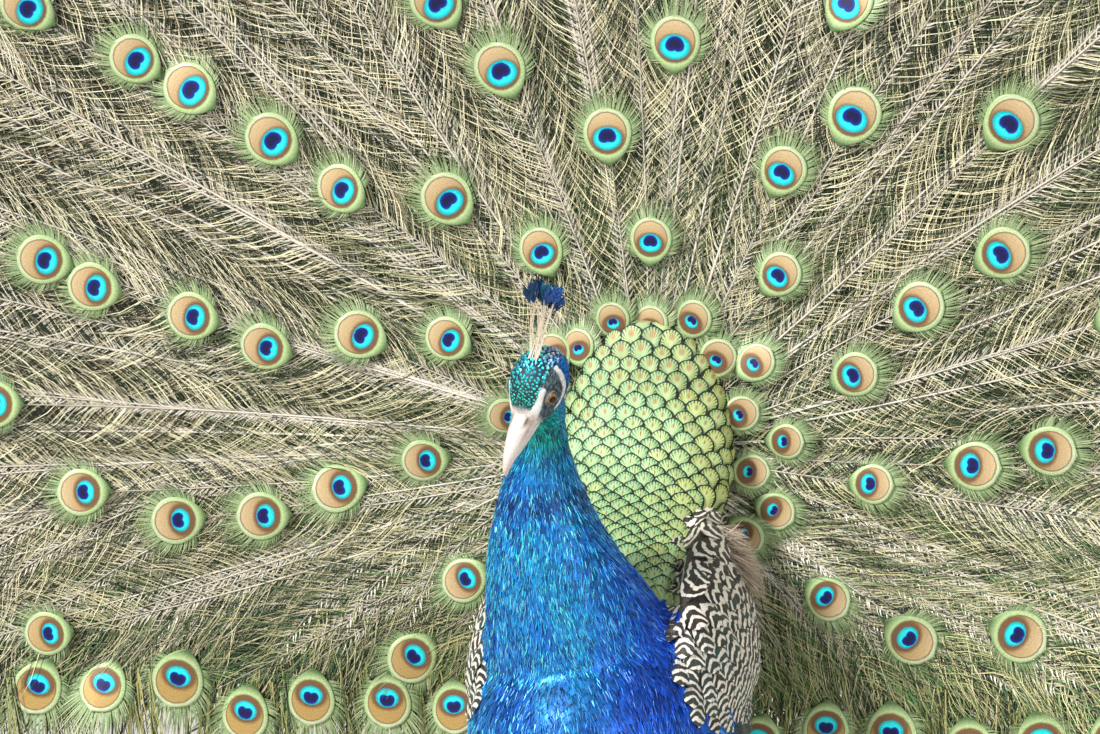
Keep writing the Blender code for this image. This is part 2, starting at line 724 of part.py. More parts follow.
def build_rump():
    """The soft dark feathers under the tail, seen from behind at the foot of the fan."""
    start = TAIL_HUB + Vector((0, RUMP_SETBACK, -0.025))
    rings = []
    for share, half_width, half_height in RUMP_STATIONS:
        centre = start + Vector((0, RUMP_LENGTH, -RUMP_DROP)) * share
        rings.append(oval(centre, Vector((1, 0, 0)), Vector((0, 0, 1)), half_width, half_height,
                          half_height, 16))
    piece = add_object("undertail", loft(rings, domes=(0.0, 0.012)), "dark_underparts")
    combine(piece, bpy.data.objects["trunk_cutter"])


clear_scene()
BIRD = collection("peacock")
CUTTERS = collection("cutters")
build_trunk_and_neck()
build_head()
build_bill()
build_crest()
build_wings()
build_legs()
build_train()
build_tail()
build_mantle()
build_rump()
centre_on_origin()
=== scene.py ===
# %% [markdown]
# # A peacock in full display
# The solids of the bird come first, as a fixed frame in metres: it faces -Y, its left side is +X and its
# toes rest on z = 0. Everything below dresses that frame in skin and feathers. Each feather is real mesh,
# made by array arithmetic, because a train of two hundred feathers has far too many barbs to place by hand.

# %% Load the frame
import math

import bmesh
import bpy
import numpy as np
from mathutils import Euler, Matrix, Vector
from mathutils.bvhtree import BVHTree


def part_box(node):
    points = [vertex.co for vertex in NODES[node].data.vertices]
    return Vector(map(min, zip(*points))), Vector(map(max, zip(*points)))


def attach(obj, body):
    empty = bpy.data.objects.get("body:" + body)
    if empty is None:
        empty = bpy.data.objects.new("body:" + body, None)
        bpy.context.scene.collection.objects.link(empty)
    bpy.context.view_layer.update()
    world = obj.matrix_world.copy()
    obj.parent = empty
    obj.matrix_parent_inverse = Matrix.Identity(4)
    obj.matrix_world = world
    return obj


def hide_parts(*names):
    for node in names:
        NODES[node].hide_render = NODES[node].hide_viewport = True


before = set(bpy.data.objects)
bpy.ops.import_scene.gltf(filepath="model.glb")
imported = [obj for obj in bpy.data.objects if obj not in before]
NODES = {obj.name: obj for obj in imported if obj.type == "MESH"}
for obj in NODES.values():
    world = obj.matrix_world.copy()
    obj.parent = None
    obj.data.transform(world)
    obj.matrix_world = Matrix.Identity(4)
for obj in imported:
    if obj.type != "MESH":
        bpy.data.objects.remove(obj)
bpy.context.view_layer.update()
TRAIN_NODES = sorted(name for name in NODES if name.startswith("train_"))
FLESH_NODES = ["trunk", "neck_lower", "neck_upper", "head", "mantle", "undertail",
               "wing_left", "wing_right", "thigh_left", "thigh_right"]

# %% [markdown]
# ## Camera
# A portrait of a displaying bird is taken from far enough away that the neck isn't swollen by perspective.
# The camera stands at the height of the bird's head, a little to its left, and looks slightly down. Its
# place follows from the hub of the fan, which is where all the shafts of the train meet.

# %% Camera at the portrait angle
FAN_RADIUS = 1.190
FAN_BOW = 0.200
FAN_HUB = Vector((0.0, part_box("train_top")[1].y - 0.0012, 0.520))
VIEW_AZIMUTH = math.radians(13)
VIEW_ELEVATION = math.radians(7)
VIEW_DISTANCE = 2.8
VIEW_LENS = 105.4
AIM_LEFT, AIM_ABOVE = 0.0870, 0.0722    # from the hub to the aim, as the camera sees it


def link(made):
    """Put a new object into the scene and hand it back."""
    bpy.context.scene.collection.objects.link(made)
    return made


def place_camera():
    right = Vector((math.cos(VIEW_AZIMUTH), math.sin(VIEW_AZIMUTH), 0))
    toward = Vector((math.sin(VIEW_AZIMUTH) * math.cos(VIEW_ELEVATION),
                     -math.cos(VIEW_AZIMUTH) * math.cos(VIEW_ELEVATION), math.sin(VIEW_ELEVATION)))
    up = toward.cross(right)
    data = bpy.data.cameras.new("portrait_camera")
    data.lens = VIEW_LENS
    data.sensor_width = 36.0
    data.clip_end = 60.0
    camera = link(bpy.data.objects.new("portrait_camera", data))
    aim = FAN_HUB - right * AIM_LEFT + up * AIM_ABOVE
    turn = Matrix((right, up, toward)).transposed()
    camera.matrix_world = Matrix.Translation(aim + toward * VIEW_DISTANCE) @ turn.to_4x4()
    bpy.context.scene.camera = camera
    print("camera at", [round(v, 3) for v in camera.matrix_world.translation])


place_camera()

# %% [markdown]
# ## Materials as sums
# Most finishes below measure a distance on the feather and paint by it. Shader nodes can do that, but a
# chain of Math nodes is hard to read. So a socket is wrapped as a term of a sum: writing a * b + c adds the
# nodes, and a few short calls stand for noise, steps and blends of colour.

# %% Terms that add Math nodes
class Term:
    """A socket to reckon with: each operator adds one Math node to its material."""

    def __init__(self, finish, socket):
        self.finish, self.socket = finish, socket

    def __add__(self, other):
        return self.finish.math("ADD", self, other)

    def __sub__(self, other):
        return self.finish.math("SUBTRACT", self, other)

    def __mul__(self, other):
        return self.finish.math("MULTIPLY", self, other)

    def __truediv__(self, other):
        return self.finish.math("DIVIDE", self, other)


# %% A finish and its short calls
class Finish:
    """One material: the plain numbers of its gloss, and calls that chain its nodes."""

    def __init__(self, name, roughness, metallic=0.0, sheen=0.0, sheen_roughness=0.5, coat=0.0,
                 coat_roughness=0.03, specular=0.5):
        self.material = bpy.data.materials.new(name)
        self.material.use_nodes = True
        self.tree = self.material.node_tree
        self.shader = self.tree.nodes["Principled BSDF"]
        for socket, value in (("Roughness", roughness), ("Metallic", metallic), ("Sheen Weight", sheen),
                              ("Sheen Roughness", sheen_roughness), ("Coat Weight", coat),
                              ("Coat Roughness", coat_roughness), ("Specular IOR Level", specular)):
            self.shader.inputs[socket].default_value = value

    def feed(self, socket, value):
        if isinstance(value, Term):
            self.tree.links.new(value.socket, socket)
        else:
            socket.default_value = (*value, 1) if socket.type == "RGBA" else value

    def node(self, kind, output, inputs=(), **settings):
        made = self.tree.nodes.new(kind)
        for key, value in settings.items():
            setattr(made, key, value)
        for key, value in dict(inputs).items():
            self.feed(made.inputs[key], value)
        return Term(self, made.outputs[output])

    def math(self, operation, a, b=0.0):
        return self.node("ShaderNodeMath", 0, {0: a, 1: b}, operation=operation)

    def blend(self, share, low, high):
        """Mix two colours; each may be a term or three numbers."""
        return self.node("ShaderNodeMix", 2, {0: share, 6: low, 7: high}, data_type="RGBA")

    def step(self, value, low, high, to=(0.0, 1.0)):
        """Runs from to[0] at low to to[1] at high and stays level beyond; low may be the greater."""
        return self.node("ShaderNodeMapRange", "Result", {
            "Value": value, "From Min": low, "From Max": high, "To Min": to[0], "To Max": to[1]})

    def scaled(self, colour, amount):
        return self.node("ShaderNodeVectorMath", 0, {0: colour, "Scale": amount}, operation="SCALE")

    def place(self):
        return self.node("ShaderNodeTexCoord", "Object")

    def tint(self):
        return self.node("ShaderNodeAttribute", "Color", attribute_name="Tint")

    def noise(self, scale, detail=2.0, vector=None):
        vector = vector or self.place()
        return self.node("ShaderNodeTexNoise", "Fac", {"Vector": vector, "Scale": scale, "Detail": detail})

    def parts(self, vector):
        """The x, y and z of a vector."""
        split = self.node("ShaderNodeSeparateXYZ", 0, {0: vector}).socket.node
        return [Term(self, socket) for socket in split.outputs]

    def vane(self, spread):
        """Across and along the vane, with 0, 0 at its middle, in units of (spread)."""
        x, y, _ = self.parts(self.node("ShaderNodeUVMap", "UV", uv_map="Vane"))
        return (x - 0.5) * spread, (y - 0.5) * spread

    def oval(self, across, along, half_across, half_along):
        """1 on the edge of an ellipse round 0, 0 and less inside it."""
        u, v = across / half_across, along / half_along
        return self.math("SQRT", u * u + v * v)

    def done(self, colour, height=None, strength=0.0, distance=0.0):
        """Give the shader its colour and relief, and hand the material over."""
        self.feed(self.shader.inputs["Base Color"], colour)
        if height:
            self.feed(self.shader.inputs["Normal"], self.node("ShaderNodeBump", "Normal", {
                "Height": height, "Strength": strength, "Distance": distance}))
        return self.material


# %% [markdown]
# ## Studio
# Iridescent feathers need broad, soft light, or they turn black between their highlights. One large lamp
# stands high on the bird's right, where the neck is brightest, a weaker one fills its left side, and a
# third lights the back of the fan. The floor is plain, pale and matt.

# %% Floor and lamps
def add_lamp(name, place, aim_height, size, power, colour=(1, 1, 1)):
    data = bpy.data.lights.new(name, "AREA")
    data.shape = "DISK"
    data.size = size
    data.energy = power
    data.color = colour
    lamp = link(bpy.data.objects.new(name, data))
    lamp.location = place
    lamp.rotation_euler = (Vector((0, 0, aim_height)) - Vector(place)).to_track_quat("-Z", "Y").to_euler()


def build_studio():
    bm = bmesh.new()
    bmesh.ops.create_circle(bm, cap_ends=True, segments=96, radius=34.0)
    mesh = bpy.data.meshes.new("studio_floor")
    bm.to_mesh(mesh)
    bm.free()
    floor = link(bpy.data.objects.new("studio_floor", mesh))
    mesh.materials.append(Finish("studio_floor", 0.85).done((0.60, 0.58, 0.54)))
    add_lamp("key_lamp", (-3.6, -5.2, 5.0), 0.7, 1.5, 690, (1.0, 0.98, 0.95))
    add_lamp("fill_lamp", (4.8, -4.2, 3.0), 0.6, 1.8, 125, (0.93, 0.96, 1.0))
    add_lamp("back_lamp", (1.9, 5.4, 4.8), 0.7, 3.6, 330)
    world = bpy.data.worlds.new("pale_room")
    world.use_nodes = True
    background = world.node_tree.nodes["Background"]
    background.inputs["Color"].default_value = (0.86, 0.84, 0.80, 1)
    background.inputs["Strength"].default_value = 0.42
    bpy.context.scene.world = world
    bpy.context.scene.view_settings.view_transform = "Standard"


build_studio()

# %% [markdown]
# ## Mesh from arrays
# A feather coat is hundreds of thousands of small faces. Adding them one by one is slow, so each piece is
# worked out as numpy arrays of points and faces and handed to Blender in one go. Every point also carries
# a tint, which the materials read, and a place on the OFBake map, where a whole tuft is one tiny patch
# at its root's place on an unwrap of the skin.

# %% Turn arrays into a piece of the bird
PATCH = 0.003                   # size of one tuft's patch on the OFBake map


def new_piece(name, points, faces, finish, tint=None, vane=None, bake=None):
    """Points (...,3) and a list of (m,3) or (m,4) faces; tint, vane and bake spread over the points."""
    points = np.asarray(points, np.float32)
    corners = np.concatenate([block.ravel() for block in faces]).astype(np.int32)
    sizes = np.concatenate([np.full(len(block), block.shape[1], np.int32) for block in faces])
    mesh = bpy.data.meshes.new(name)
    mesh.vertices.add(points.size // 3)
    mesh.vertices.foreach_set("co", points.ravel())
    mesh.loops.add(len(corners))
    mesh.loops.foreach_set("vertex_index", corners)
    mesh.polygons.add(len(sizes))
    mesh.polygons.foreach_set("loop_start", (np.cumsum(sizes) - sizes).astype(np.int32))
    mesh.update(calc_edges=True)
    if tint is not None:
        add_tint(mesh, np.broadcast_to(tint, points.shape).reshape(-1, 3))
    for layer_name, values in (("Vane", vane), ("OFBake", bake)):
        if values is not None:
            values = np.broadcast_to(values, points.shape[:-1] + (2,)).reshape(-1, 2).astype(np.float32)
            mesh.uv_layers.new(name=layer_name).data.foreach_set("uv", values[corners].ravel())
    mesh.shade_smooth()
    mesh.validate()
    mesh.materials.append(finish)
    piece = link(bpy.data.objects.new(name, mesh))
    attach(piece, "root")
    print("%-22s %7d triangles" % (name, int((sizes - 2).sum())))
    return piece


def add_tint(mesh, tint):
    shades = np.ones((len(tint), 4), np.float32)
    shades[:, :3] = np.clip(tint, 0, 1)
    mesh.color_attributes.new("Tint", "FLOAT_COLOR", "POINT").data.foreach_set("color", shades.ravel())


# %% Faces of sheets and tubes
def sheet_faces(count, rows, columns):
    """Quads of (count) separate grids of points, each (rows) by (columns)."""
    base = (np.arange(rows - 1)[:, None] * columns + np.arange(columns - 1)).ravel()
    quad = np.stack([base, base + 1, base + columns + 1, base + columns], 1)
    return (quad[None] + (np.arange(count) * rows * columns)[:, None, None]).reshape(-1, 4)


def ring_faces(count, rows, around):
    """Quads of (count) tubes, each of (rows) closed rings of (around) points."""
    ring, after = np.arange(around), np.roll(np.arange(around), -1)
    quad = np.stack([ring, after, after + around, ring + around], 1)
    start = (np.arange(count)[:, None] * rows + np.arange(rows - 1)).reshape(-1, 1, 1) * around
    return (start + quad).reshape(-1, 4)


# %% Small sums that everything uses
def unit(vectors):
    return vectors / np.maximum(np.linalg.norm(vectors, axis=-1, keepdims=True), 1e-9)


def mix(a, b, share):
    share = np.asarray(share)[..., None]
    return np.asarray(a) * (1 - share) + np.asarray(b) * share


def ramp(value, low, high):
    """0 at low, 1 at high and level beyond; low may be the greater."""
    return np.clip((value - low) / (high - low), 0, 1)


def heading_of(path):
    """Unit directions along paths (n,s,3)."""
    return unit(np.gradient(path, axis=1))


def side_of(path, facing):
    """Unit directions across paths, square to the way they run and to where they face."""
    return unit(np.cross(heading_of(path), facing))


# %% Ribbons, which make every barb and strand
def new_ribbons(name, path, side, width, root, tint, finish, slot="train_feather"):
    """Tapered ribbons along path (n,s,3), each ending in a point. Root is their OFBake place (n,2), and
    tint takes the share along (p,1) and gives colours that spread over (n,p,3)."""
    count, steps = path.shape[:2]
    half = side * width[..., None] / 2
    edges = np.stack([path - half, path + half], 2)[:, :-1].reshape(count, -1, 3)
    points = np.concatenate([edges, path[:, -1:]], 1)
    each = 2 * steps - 1
    base = np.arange(count)[:, None] * each
    faces = [base + 2 * i + np.array([0, 1, 3, 2]) for i in range(steps - 2)]
    faces.append(base + each + np.array([-3, -2, -1]))
    along = np.append(np.repeat(np.arange(steps - 1), 2), steps - 1)[:, None] / (steps - 1)
    bake = root[:, None] + PATCH * np.hstack([np.full_like(along, 0.5), along])
    return new_piece(name, points, faces, finish, tint(along), bake=bake)


# %% [markdown]
# ## Colour that lives in the mesh
# A feather's colour changes from feather to feather and from its root to its tip. A procedural material
# could only guess at that from position, so each point carries its own tint, and the material adds the fine
# streaks, the gloss and the bump. This helper makes one such finish from a few plain numbers.

# %% A feather finish that reads the tint
def feather_finish(name, roughness=0.45, streak=0.25, grain=900.0, bump=0.15, coat_roughness=0.35, **gloss):
    finish = Finish(name, roughness, sheen_roughness=0.4, coat_roughness=coat_roughness, **gloss)
    noise = finish.noise(grain)
    level = finish.step(noise, 0.3, 0.7, to=(1 - streak, 1 + streak))
    return finish.done(finish.scaled(finish.tint(), level), noise, bump, 0.0006)


# %% [markdown]
# ## Where the train's feathers stand
# The train isn't the tail but some two hundred upper tail coverts. They grow in rings, the shortest in
# front, and each ring's eyes fall in the gaps of the ring before it. So the layout is a short table of the
# inner rings and a rule for the outer ones: rings a constant step apart, offset by half a feather.

# %% Rings of eyed feathers
RNG = np.random.default_rng(26)
RINGS = [                       # radius of the eyes, first angle, step and number of feathers
    (0.121, -110.0, 32.0, 9),
    (0.196, -124.0, 31.6, 9),
    (0.280, -134.0, 32.0, 9),
    (0.352, -130.0, 27.0, 10),
    (0.428, -124.0, 24.5, 11),
    (0.505, -117.0, 21.5, 12),
]
RING_STEP = 0.080               # between the outer rings
EYE_SPACING = 0.185             # between the eyes of one outer ring
EYE_REACH = 1.135               # radius of the farthest eyes
LOW_EDGE = 0.300                # height below which no ring feather's eye hangs


def ring_feathers():
    """Rows of angle, radius, droop and fork, as in all the lists below."""
    rings, radius, turn = list(RINGS), RINGS[-1][0] + RING_STEP, 0.0
    while radius < EYE_REACH:
        step = math.degrees(EYE_SPACING / radius)
        limit = 90 + math.degrees(math.asin(min(0.26 / radius, 1)))
        count = int(2 * limit / step) + 1
        rings.append((radius, -step * (count - 1) / 2 + turn * step, step, count))
        turn, radius = 0.5 - turn, radius + RING_STEP
    found = []
    for index, (radius, first, step, count) in enumerate(rings):
        wander = 0.35 if index < len(RINGS) else 1.0
        for k in range(count):
            angle = first + step * k + wander * RNG.normal(0, 0.10) * step
            reach = radius * (1 + 0.0000016 * angle ** 2 * (index < 2)) + wander * RNG.normal(0, 0.014)
            reach = min(reach, EYE_REACH)
            height = FAN_HUB.z + reach * math.cos(math.radians(angle))
            if height > LOW_EDGE + 0.03 * (index > 2):
                found.append((angle, reach, 0, 0))
    return found


# %% [markdown]
# Four more kinds fill the fan: small half-grown eyes round the raised back, side feathers that droop in a
# level row along the foot, the longest feathers, which have no eye and end in an open fork, and plain side
# feathers behind the row at the foot.

# %% The other kinds of feathers
MANTLE_EYES = [(2, 0.112), (-33, 0.108), (-61, 0.098), (36, 0.104), (66, 0.090), (99, 0.092), (128, 0.112)]
FRINGE_SPACING = 0.056          # between the eyes of the level row
FORKS, FORK_LIMIT, FORK_REACH = 37, 100.0, 1.165
LOW_EACH_SIDE = 60


def fringe_feathers():
    found = []
    for side in (-1, 1):
        across = 0.100
        while across < 1.13:
            drop = LOW_EDGE - 0.014 - FAN_HUB.z + RNG.normal(0, 0.010)
            angle = math.degrees(math.atan2(across, drop))
            found.append((side * angle, math.hypot(across, drop), side, 0))
            across += FRINGE_SPACING * (1 + 0.25 * RNG.random()) * (1.0 + 0.9 * max(across - 0.55, 0))
    return found


def fork_feathers():
    return [(FORK_LIMIT * (2 * k / (FORKS - 1) - 1), FORK_REACH + RNG.uniform(-0.012, 0.0), 0, 1)
            for k in range(FORKS)]


def low_feathers():
    found = []
    for side in (-1, 1):
        for k in range(LOW_EACH_SIDE):
            angle = 93 + 76 * (k + RNG.random()) / LOW_EACH_SIDE
            drop = -math.cos(math.radians(angle))
            reach = min((FAN_HUB.z - LOW_EDGE + 0.006) / max(drop, 0.05), 0.98) * RNG.uniform(0.74, 1.0)
            found.append((side * angle, max(reach, 0.20), 0, 1))
    return found


FEATHERS = ring_feathers() + [(*row, 0, 0) for row in MANTLE_EYES]
FEATHERS += fringe_feathers() + fork_feathers() + low_feathers()
FEATHERS = np.array(sorted(FEATHERS, key=lambda row: row[1]), float)
EYE_ANGLE, EYE_RADIUS, DROOP, FORK = FEATHERS.T
EYED = np.nonzero(FORK == 0)[0]
print("feathers with eyes:", len(EYED), "and without:", int(FORK.sum()))

# %% [markdown]
# ## Shafts
# A covert's shaft is a stiff white quill that tapers to a hair at the eye. It could be a curve with a bevel,
# but the barbs must know where it runs, so its path is an array first: a nearly straight ray from the hub,
# bent a few degrees, lying on the dish. Long feathers lie behind short ones, as they grow.

# %% Paths of the shafts
PATH_STEPS = 24
LAYER_DEPTH = 0.016             # from the shortest feathers in front to the longest behind
FORWARD = np.array([0, -1.0, 0])
DOWNWARD = np.array([0, 0, -1.0])


def dish_y(radius):
    """The fan is a shallow dish: its tips arch forward over the bird."""
    return FAN_HUB.y - FAN_BOW * (radius / FAN_RADIUS) ** 2


def shaft_paths():
    share = np.linspace(0, 1, PATH_STEPS)
    start = np.clip(0.30 * EYE_RADIUS, 0.035, 0.075)
    bend = RNG.normal(0, 2.2, len(FEATHERS)) + DROOP * -np.clip(26 - 12 * EYE_RADIUS, 8, 24)
    radius = start[:, None] + (EYE_RADIUS - start)[:, None] * share
    angle = np.radians(EYE_ANGLE[:, None] + bend[:, None] * (1 - share) * (1 + 0.6 * share))
    depth = dish_y(radius) - 0.010 + LAYER_DEPTH * (EYE_RADIUS[:, None] / EYE_REACH) ** 0.8
    depth = depth + 0.0015 * np.sin(np.arange(len(FEATHERS)) * 2.4)[:, None]
    return np.stack([radius * np.sin(angle), depth, FAN_HUB.z + radius * np.cos(angle)], -1)


SHAFTS = shaft_paths()
SHAFT_DIR = heading_of(SHAFTS)
SHAFT_NORMAL = unit(FORWARD - SHAFT_DIR * (SHAFT_DIR @ FORWARD)[..., None])
SHAFT_SIDE = np.cross(SHAFT_DIR, SHAFT_NORMAL)
SHAFT_LENGTH = np.linalg.norm(np.diff(SHAFTS, axis=1), axis=2).sum(1)


# %% Three-sided quills along the paths
def fan_unwrap(points):
    """OFBake place of points on the fan, as if the dish were pressed flat."""
    return np.stack([0.5 + points[..., 0] / 2.45, (points[..., 2] - 0.20) / 1.55], -1)


def build_shafts():
    """Each is white above and brown below."""
    share = np.linspace(0, 1, PATH_STEPS)
    thick = (0.0019 * np.clip(EYE_RADIUS / 0.5, 0.6, 1.3))[:, None] * (1 - 0.78 * share)
    turn = (np.arange(3) * 2 * math.pi / 3)[:, None]
    ring = SHAFT_NORMAL[:, :, None] * np.cos(turn) + SHAFT_SIDE[:, :, None] * np.sin(turn)
    points = (SHAFTS + SHAFT_NORMAL * 0.0022)[:, :, None] + thick[..., None, None] * ring
    shade = np.array([(1, 1, 1), (0.80, 0.74, 0.66), (0.80, 0.74, 0.66)])
    tint = mix((0.92, 0.88, 0.80), (0.30, 0.24, 0.15), 0.6 * share ** 2.2)[:, None] * shade
    new_piece("train_shafts", points, [ring_faces(len(FEATHERS), PATH_STEPS, 3)], SHAFT_FINISH, tint,
              bake=fan_unwrap(SHAFTS)[:, :, None])


SHAFT_FINISH = feather_finish("white_quill", roughness=0.35, coat=0.3, streak=0.12, bump=0.05)
build_shafts()

# %% [markdown]
# ## Barbs
# Between its base and its eye a train feather isn't a closed vane: its barbs hang loose, a few millimetres
# apart, long and curved towards the tip, and those of neighbouring feathers cross in a fine net. Each barb
# is a thin tapered ribbon. Its root is a distance back along the shaft, and its line is found by turning
# steadily from a wide angle to a narrow one. Those close behind the eye sweep round it.

# %% Roots and sweep of a barb
def along_shaft(feather, back):
    """Place, direction, side and front of shafts, (back) metres before the eye. Both are arrays."""
    where = np.clip(1 - back / SHAFT_LENGTH[feather], 0, 1) * (PATH_STEPS - 1)
    low = np.minimum(where.astype(int), PATH_STEPS - 2)
    place, *axes = [mix(grid[feather, low], grid[feather, low + 1], where - low)
                    for grid in (SHAFTS, SHAFT_DIR, SHAFT_SIDE, SHAFT_NORMAL)]
    return [place] + [unit(axis) for axis in axes]


def sweep(feather, back, side, length, opening, closing, steps, lift, width):
    """Path, side, width and OFBake place of barbs that turn from one angle in radians to another."""
    root, forward, out, front = along_shaft(feather, back)
    share = np.linspace(0, 1, steps)
    turn = opening[:, None] + (closing - opening)[:, None] * (share[:-1] + 0.5 / (steps - 1))
    each = (length / (steps - 1))[:, None]
    run, reach = [np.cumsum(np.pad(part * each, ((0, 0), (1, 0))), 1)[..., None]
                  for part in (np.cos(turn), np.sin(turn) * side[:, None])]
    rise = (np.broadcast_to(lift, len(back))[:, None] * np.sin(share * math.pi * 0.6))[..., None]
    path = root[:, None] + forward[:, None] * run + out[:, None] * reach + front[:, None] * rise
    return path, side_of(path, front[:, None]), width[:, None] * (1 - 0.72 * share ** 1.5), fan_unwrap(root)


def barb_roots(step, field, first):
    """Every root along every shaft: the feather's number, the distance before its eye, and the side."""
    rows = []
    for number, length in enumerate(SHAFT_LENGTH):
        places = np.arange(first, min(length, field), step)
        places = places + RNG.uniform(-0.35, 0.35, len(places)) * step
        rows += [np.stack([np.full(len(places), number), places, np.full(len(places), sign)])
                 for sign in (-1.0, 1.0)]
    feather, back, side = np.concatenate(rows, 1)
    return feather.astype(int), np.clip(back, 0, None), side


# %% Colours of the barbs
# Cream barbs stand partly for barbs in light and dark ones for barbs in shade (painted highlight and painted
# shade), mixed with the barbs' own colours.
BARB_CREAM_HIGHLIGHT = (0.94, 0.86, 0.60)
BARB_OLIVE = (0.19, 0.225, 0.10)
BARB_DARK_SHADE = (0.015, 0.024, 0.010)
BARB_GREEN = (0.13, 0.29, 0.10)
BARB_GOLD = (0.46, 0.47, 0.19)
BARB_BROWN = (0.32, 0.24, 0.15)
CREAM_SHARE, OLIVE_SHARE, BROWN_SHARE = 0.40, 0.48, 0.54     # each up to here; the rest are dark


def barb_tint(root, back):
    """Cream, olive, brown and dark barbs mixed, the cream and dark ones partly as painted highlight and
    painted shade; greener near the eye and near the body.
    """
    chance = RNG.random(len(back))
    kind = np.searchsorted([CREAM_SHARE, OLIVE_SHARE, BROWN_SHARE], chance)
    colour = np.array([BARB_CREAM_HIGHLIGHT, BARB_OLIVE, BARB_BROWN, BARB_DARK_SHADE])[kind]
    x, _, z = root.T
    green = 0.70 * np.exp(-(back / 0.040) ** 2) + 0.45 * np.exp(-(np.hypot(x, z - FAN_HUB.z) / 0.26) ** 2)
    low = ramp(z, 0.56, 0.30)
    green = green + 0.35 * ramp(x, 0.12, 0.62) + 0.45 * low
    gold = np.where((chance < CREAM_SHARE + 0.01)[:, None], BARB_GOLD, BARB_GREEN)
    colour = mix(colour, gold, np.clip(green, 0, 0.9) * (chance <= 0.74))
    # Painted light: barbs low on the bird's left are brightened, and those low on its right are a little
    # darkened.
    painted_sunlight = 1 + low * np.clip((x - 0.05) / 0.4, -0.35, 1) * 0.35
    return (colour * painted_sunlight[:, None] * RNG.uniform(0.68, 1.27, (len(back), 1)))[:, None]


# %% Grow the barbs
BARB_FINISH = feather_finish("loose_barbs", roughness=0.42, metallic=0.15, sheen=0.2, streak=0.2)
BARB_STEP, UNDER_STEP = 0.0036, 0.0090  # between neighbouring barbs on one side of a shaft
BARB_FIELD, UNDER_FIELD = 0.62, 0.60    # how far back from the eye they are worth making


def build_barbs():
    """The long barbs, cut by their bearing from the hub into three pieces."""
    feather, back, side = barb_roots(BARB_STEP, BARB_FIELD, first=0.012)
    scale = np.clip(EYE_RADIUS[feather] / 0.30, 0.55, 1.0)
    near = np.exp(-(back / 0.060) ** 2)
    length = scale * (0.080 + 0.010 * RNG.normal(0, 1, len(back))) * (1 - 0.28 * near)
    length *= np.clip((SHAFT_LENGTH[feather] - back) / 0.06, 0.35, 1)
    opening = np.radians(58 - 10 * near + RNG.normal(0, 2.5, len(back)))
    closing = np.radians(12 - 22 * near + RNG.normal(0, 5, len(back)))
    lift = RNG.uniform(-0.003, 0.006, len(back))
    width = RNG.uniform(0.0006, 0.0010, len(back))
    barbs = sweep(feather, back, side, length, opening, closing, 4, lift, width)
    root = along_shaft(feather, back)[0]
    shade = barb_tint(root, back)
    bearing = np.arctan2(root[:, 0], root[:, 2] - FAN_HUB.z)
    third = np.searchsorted(np.quantile(bearing, [1 / 3, 2 / 3]), bearing)
    for part in range(3):
        chosen = third == part
        new_ribbons("train_barbs_%d" % (part + 1), *[grid[chosen] for grid in barbs],
                    lambda along: shade[chosen] * (1.12 - 0.25 * along), BARB_FINISH)


def build_under_barbs():
    """The backs of deeper feathers: broad dark barbs that close the net from behind. Their darkness is partly
    the backs' own dull colour and partly painted shade deep in the fan.
    """
    feather, back, side = barb_roots(UNDER_STEP, UNDER_FIELD, first=0.004)
    count = len(back)
    scale = np.clip(EYE_RADIUS[feather] / 0.30, 0.50, 1.0)
    length = scale * RNG.uniform(0.070, 0.095, count) * np.clip((SHAFT_LENGTH[feather] - back) / 0.06, 0.3, 1)
    opening = np.radians(RNG.normal(50, 5, count))
    barbs = sweep(feather, back, side, length, opening, opening * 0.35, 4, -0.004,
                  RNG.uniform(0.0022, 0.0032, count))
    barbs[0][..., 1] += 0.004
    # Nearly black: partly painted shade in the depth of the fan.
    shade = mix((0.030, 0.034, 0.018), (0.075, 0.082, 0.045), RNG.random(count))[:, None]
    new_ribbons("train_under_barbs", *barbs, lambda along: shade, BARB_FINISH)


build_barbs()
build_under_barbs()

# %% [markdown]
# ## Cream barbs along the quills
# Close to its shaft each feather carries a row of short, pale, stiff barbs, like a herringbone. Seen against
# the dark net of long barbs they draw the feather's line across the fan. They grow like the long ones, only
# shorter, straighter and lighter, and they end before the coloured part of the feather.

# %% Grow the herringbone
HERRING_STEP, HERRING_FIELD = 0.0058, 0.56


def build_herringbone():
    feather, back, side = barb_roots(HERRING_STEP, HERRING_FIELD, first=0.070)
    root = along_shaft(feather, back)[0]
    keep = np.hypot(root[:, 0], root[:, 2] - FAN_HUB.z) > 0.11
    feather, back, side = feather[keep], back[keep], side[keep]
    count = len(back)
    length = RNG.uniform(0.009, 0.016, count)
    opening = np.radians(RNG.normal(44, 4, count))
    barbs = sweep(feather, back, side, length, opening, opening * 0.7, 3, 0.0040,
                  RNG.uniform(0.0010, 0.0016, count))
    shade = mix((0.94, 0.90, 0.80), (0.62, 0.57, 0.44), RNG.random(count))[:, None]
    new_ribbons("train_herringbone", *barbs, lambda along: shade * (1 - 0.2 * along), BARB_FINISH)


build_herringbone()

# %% [markdown]
# ## The eye of a feather
# Only at the eye do the barbs close into a smooth disc. Each one is modelled as a small domed vane, pointed
# where it leaves the shaft. Its rings are ellipses set off-centre: a yellow-green edge, a tan egg with a
# brown crescent at its foot, a turquoise oval wider than it is long, and a navy kidney whose notch faces the
# bird. The finish measures each point's distance from these ellipses, so the rings stay sharp at any size.

# %% Rings of the eye as a finish
EYE_SPREAD = 64.0               # millimetres that the Vane map spans on a full-size eye


